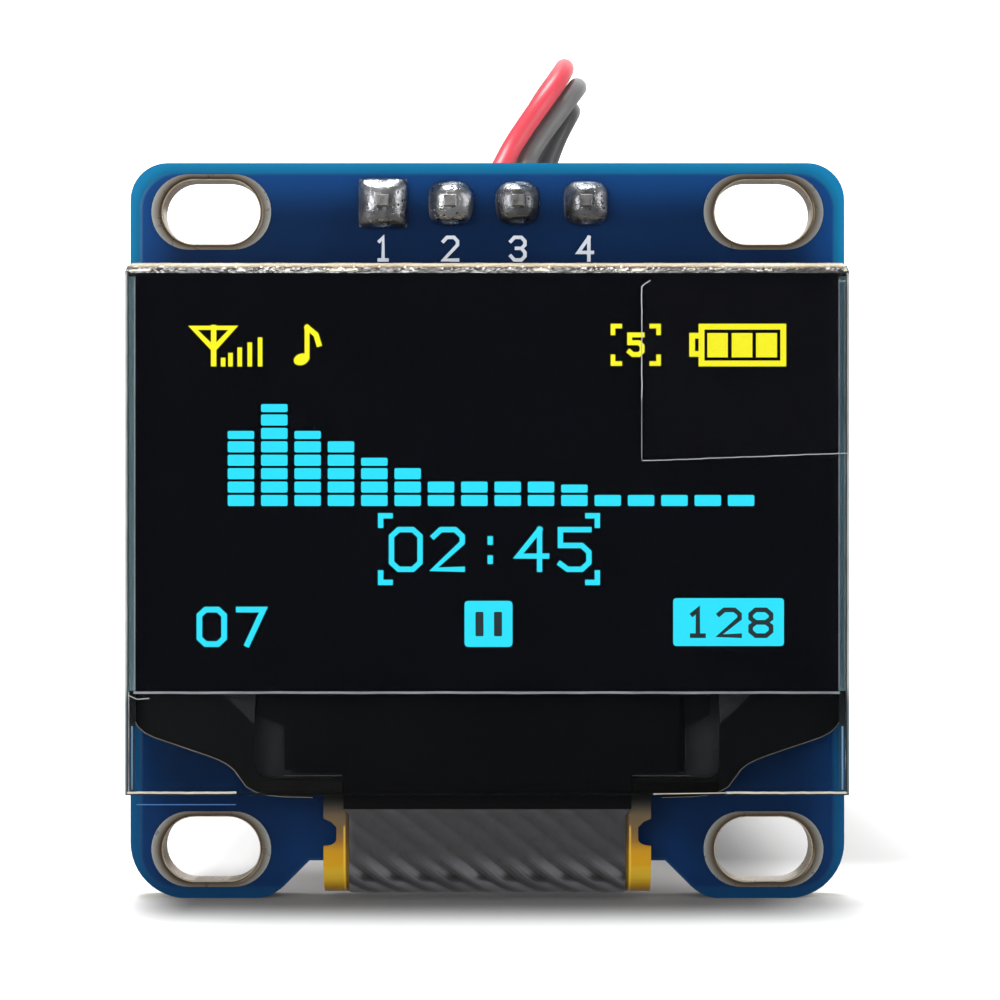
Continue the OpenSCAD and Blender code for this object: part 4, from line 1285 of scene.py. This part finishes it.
def trim_resin():
    """The resin's lower edge lines, its wider shoulders and the cut upper corners of the window round it."""
    ledge, shoulders, cut_corners = Heap(), Heap(), Heap()
    for side in SIDES:
        ends = [(side * 7.56, -9.11), (side * 5.42, -9.11)]
        ledge.stroke(ends, 0.022, GLASS_BACK - 0.004, GLASS_BACK + 0.04)
    rim = Finish("resin_edge", shade("3A3A3B"), 0.4, specular=0.2).material
    ledge.piece("resin_edge_lines", rim, "resin")

    near, far, top = GLASS_BACK + 0.004, GLASS_BACK + 0.05, -6.02
    # Each side's shoulder: its outer and inner X, and the height where it meets the resin's side.
    for side, outer, inner, low in ((-1, 8.55, 7.56, -7.28), (1, 8.3, 7.33, -7.35)):
        shoulder = ((7.1, top), (7.1, -8.9), (inner - 0.02, -8.9), (inner, low), (outer, -6.84), (outer, top))
        shoulders.slab(np.array(shoulder) * (side, 1), near, far)
        cut_corners.slab(np.array([(8.62, top), (8.66, -7.2), (9.9, top)]) * (side, 1), near, far)
    resin = plastic_finish("resin_top", shade("060709"), 0.35, 1.5, 0.01, 0.08)
    shoulders.piece("resin_shoulders", resin, "resin")
    window = plastic_finish("window_depth", shade("1C1D1F"), 0.9, 0.25, 0.02, 0.2)
    cut_corners.piece("window_corners", window, "foam")


def trim_dim_films():
    """Dim lines on the films' edges: low on the peel tab, along the polariser's foot and up its sides."""
    dim = worn_finish("film_edge_dim", "63676D", 0.3, 1.2, "3E4247", "868B92", 0.7)
    faint = Heap()
    faint.stroke([(TAB_X, 4.88), (TAB_X, 2.66)], 0.03, TAB_FRONT - 0.006, TAB_FRONT + 0.01)
    x = np.linspace(-12.98, 12.95, 80)
    foot = -5.945 + 0.008 * waves(x, (6.0, 2.0), 4)
    faint.stroke(np.column_stack([x, foot]), 0.085, POLARISER_FRONT - 0.02, GLASS_FRONT - 0.005)
    for x, width in ((-12.98, 0.035), (12.96, 0.03)):
        faint.stroke([(x, -5.8), (x, 9.3)], width, POLARISER_FRONT - 0.006, POLARISER_FRONT + 0.04)
    faint.piece("film_edges_dim", dim, "film")


class TrimGlass(bpy.types.Operator):
    """Adds what shows round the glass: chamfers, films, the flexible circuit's edge and the resin's outline"""

    bl_idname = "display_module.trim_glass"
    bl_label = "Trim the glass and films"

    def execute(self, context):
        trim_chamfers()
        trim_film_highlights()
        trim_flex_edges()
        trim_inner_edges()
        trim_resin()
        trim_dim_films()
        return {"FINISHED"}


# Near and far faces of what is lit, and of the dark marks on it.
LIT = (-1.945, -1.93)
UNLIT = (-1.952, -1.945)


def corners(heap, x0, z0, x1, z1, arm, line):
    """Four corner marks round a box."""
    for x, right in ((x0, 1), (x1, -1)):
        for z, up in ((z0, 1), (z1, -1)):
            a, b = x + right * line / 2, z + up * line / 2
            heap.stroke([(a, z + up * arm), (a, b), (x + right * arm, b)], line, *LIT, square_ends=False)


class LightDisplay(bpy.types.Operator):
    """Draws what the display shows: flat shapes and pen strokes that give off light, in two colours"""

    bl_idname = "display_module.light_display"
    bl_label = "Light the display"

    def execute(self, context):
        display = look().display
        upper = Heap()
        # Signal mark: a mast with two stays, and five bars that rise to the right.
        upper.stroke([(-10.83, 7.49), (-9.35, 7.49), (-10.07, 6.71), (-10.83, 7.49)], 0.2, *LIT)
        upper.stroke([(-10.07, 7.5), (-10.07, 6.17)], 0.2, *LIT)
        for x, top in ((-9.72, 6.39), (-9.45, 6.57), (-9.11, 6.77), (-8.74, 6.955), (-8.36, 7.14)):
            upper.slab(rectangle(x - 0.085, 6.066, x + 0.085, top), *LIT)
        # A plain musical note.
        upper.slab(disc(-6.84, 6.33, 0.29, 0.21, tilt=0.35), *LIT)
        upper.stroke([(-6.63, 6.42), (-6.63, 7.5)], 0.18, *LIT)
        upper.stroke([(-6.62, 7.5), (-6.3, 7.24), (-6.2, 6.9)], 0.2, *LIT)
        # A figure in corner marks, and a full battery.
        corners(upper, 4.55, 6.09, 6.4, 7.64, 0.42, 0.17)
        write_number(upper, "5", 5.16, 6.42, 0.64, 0.9, 0, 0.18, *LIT)
        upper.stroke([(7.896, 6.177), (10.908, 6.177), (10.908, 7.534), (7.896, 7.534), (7.896, 6.177)],
                     0.214, *LIT)
        upper.stroke([(7.79, 7.2), (7.55, 7.2), (7.55, 6.53), (7.79, 6.53)], 0.21, *LIT, square_ends=False)
        for x0, x1 in ((8.113, 8.862), (9.009, 9.769), (9.905, 10.676)):
            upper.slab(rectangle(x0, 6.405, x1, 7.298), *LIT)
        upper.piece("lit_upper", lit_finish("upper_light", display.upper, display.strength), "emitter")

        lower = Heap()
        # Level bars: sixteen columns of blocks, the top one short in some.
        levels = (5.7, 7.7, 5.7, 5, 3.7, 3, 2, 2, 2, 2, 1.7, 1, 1, 1, 1, 1)
        for k, level in enumerate(levels):
            x = -9.552 + 1.228 * k
            for row in range(math.ceil(level)):
                z = 0.929 + 0.494 * row
                tall = 0.406 if row + 1 <= level else 0.295
                lower.slab(rectangle(x, z, x + 0.974, z + tall, 0.06, 3), *LIT)
        corners(lower, -4.02, -1.985, 4.16, 0.67, 0.55, 0.2)
        write_number(lower, "02:45", -3.62, -1.5, 1.25, 1.66, 1.555, 0.2, *LIT)
        write_number(lower, "07", -10.7, -4.26, 1.12, 1.48, 1.45, 0.21, *LIT)
        lower.slab(rectangle(-0.834, -4.26, 0.936, -2.564, 0.14), *LIT)
        lower.slab(rectangle(6.852, -4.227, 10.931, -2.464, 0.12), *LIT)
        lower.piece("lit_lower", lit_finish("lower_light", display.lower, display.strength), "emitter")

        unlit = Heap()
        for x0, x1 in ((-0.428, -0.133), (0.254, 0.549)):
            unlit.slab(rectangle(x0, -3.866, x1, -2.969, 0.05), *UNLIT)
        write_number(unlit, "128", 7.3, -3.93, 0.92, 1.12, 1.16, 0.17, *UNLIT)
        unlit.piece("unlit_marks", Finish("unlit_stack", shade("0C2328"), 0.4).material, "emitter")
        return {"FINISHED"}


# ---- Flexible circuit ----


def ridges(x, s, crease_at):
    """Height of the ridges over the slanting tracks, from 0 to 1, less the creases at the start of the fold.

    Each ridge is a raised cosine sharpened on one flank, along lines that fall 0.8 for each 1 to the right,
    with a wander of low sine waves. A crease deepens along each ridge up to its sharp flank. x runs across the
    neck and s down it.
    """
    phase = (x - s / 0.8) / 1.07 + 0.05 * waves(x * 0.6 + s, (5.3, 3.1), 21)
    phase = phase + 0.03 * waves(s - 0.4 * x, (2.6, 1.6), 22)
    saw = phase - np.floor(phase)
    climb, drop = 0.5 - 0.5 * np.cos(np.pi * saw / 0.7), 0.5 + 0.5 * np.cos(np.pi * (saw - 0.7) / 0.3)
    main = np.where(saw < 0.7, climb, drop)
    weight = 0.62 + 0.38 * waves(np.floor(phase), (2.7, 4.3), 23)
    fine = 0.035 * np.sin(2 * np.pi * phase * 5 + 2 * waves(s, (1.3, 0.7), 24))
    across = np.clip(1.25 - np.abs(saw - 0.78) / 0.3, 0, 1)
    crease = across * np.exp(-((s - crease_at - 0.2 * (0.78 - saw)) / 0.15) ** 2)
    return np.clip(0.27 + 0.52 * main * weight + fine - 0.45 * crease, -0.35, 1)


class CoverFlex(bpy.types.Operator):
    """Makes the neck's ridged cover: a sheet that runs down, turns half a circle and climbs the back"""

    bl_idname = "display_module.cover_flex"
    bl_label = "Cover the flexible circuit"

    def execute(self, context):
        finish_nodes((
            (flex_finish(), ["flex_circuit"]),
            (plastic_finish("flex_strip", shade("050507"), 0.5, specular=0.08), ["flex_tape"]),
        ))
        top, back_top, shoulder = -10.35, -10.6, 0.26
        fold_y, inner = (BOARD_T + FLEX_BACK) / 2, (BOARD_T - FLEX_BACK) / 2 + FLEX_T
        outer = inner + COVER_T
        down, turn, up = top - FOLD_Z, np.pi * outer, back_top - FOLD_Z
        s = np.concatenate([np.linspace(0, down, 44), down + np.linspace(0, turn, 60)[1:],
                            down + turn + np.linspace(0, up, 26)[1:]])
        share = np.linspace(-1, 1, 190)
        half = np.interp(s, [0, shoulder, shoulder + 0.1], [5.35, 5.15, 5.15])
        x = half[:, None] * share[None]
        angle = np.clip((s - down) / outer, 0, np.pi)
        z_run = np.where(s < down, top - s, np.where(s > down + turn, FOLD_Z + s - down - turn, FOLD_Z))
        edge = np.clip((1 - np.abs(share)) / 0.03, 0, 1)
        height = ridges(x, s[:, None], down + 0.5)
        rise = 0.035 * height * edge[None] * np.clip(s / 0.12, 0, 1)[:, None]

        def sheet(radius, rise):
            """Places the sheet at a radius from the fold's middle, moved out along its normal by rise."""
            r = radius + rise
            y = fold_y - r * np.cos(angle)[:, None]
            z = z_run[:, None] - r * np.sin(angle)[:, None]
            return np.stack([x, y, z], -1)

        face = sheet(outer, rise)
        lining = sheet(inner + 0.004, np.zeros_like(x))
        rings = np.concatenate([face, lining[:, ::-1]], 1)
        rows, columns = rings.shape[:2]
        faces = grid_faces(rows, columns, wrap_columns=True) + end_caps(rows, columns)
        made = piece("cover_sheet", rings, faces, cover_finish())
        # The ridge height is stored on the points, and the cover's finish paints light and shade from it.
        mark = made.data.attributes.new("ridge", "FLOAT", "POINT")
        mark.data.foreach_set("value", np.hstack([height, np.full_like(x, 0.3)]).ravel().astype(np.float32))
        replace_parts(made, "flex_cover")
        return {"FINISHED"}


# ---- Panel, registration and the run ----

STEPS = (SetStage, MakeLeads, FinishBoard, FinishHeader, SolderPins, PrintLabels, LayTracks, FinishPanel,
         BreakTopEdge, TrimGlass, LightDisplay, CoverFlex)
GROUPS = (BoardLook, DisplayLook, LeadLook, StageLook, ModuleLook)


class ModulePanel(bpy.types.Panel):
    """Lists the module's settings and the steps that build it"""

    bl_idname = "VIEW3D_PT_display_module"
    bl_label = "Display module"
    bl_space_type = "VIEW_3D"
    bl_region_type = "UI"
    bl_category = "Display module"

    def draw(self, context):
        for name in ("board", "display", "leads", "stage"):
            group = getattr(look(), name)
            box = self.layout.box()
            box.label(text=name.capitalize())
            for key in group.__annotations__:
                box.prop(group, key)
        for step in STEPS:
            self.layout.operator(step.bl_idname)


def register():
    """Adds the settings, the steps and the panel."""
    for made in (*GROUPS, *STEPS, ModulePanel):
        bpy.utils.register_class(made)
    bpy.types.Scene.display_module = PointerProperty(type=ModuleLook)


def unregister():
    """Takes them away again."""
    del bpy.types.Scene.display_module
    for made in (ModulePanel, *reversed(STEPS), *reversed(GROUPS)):
        bpy.utils.unregister_class(made)


def main():
    """Builds the module's looks step by step."""
    register()
    for step in STEPS:
        group, name = step.bl_idname.split(".")
        getattr(getattr(bpy.ops, group), name)()
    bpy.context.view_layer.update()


if __name__ == "__main__":
    main()
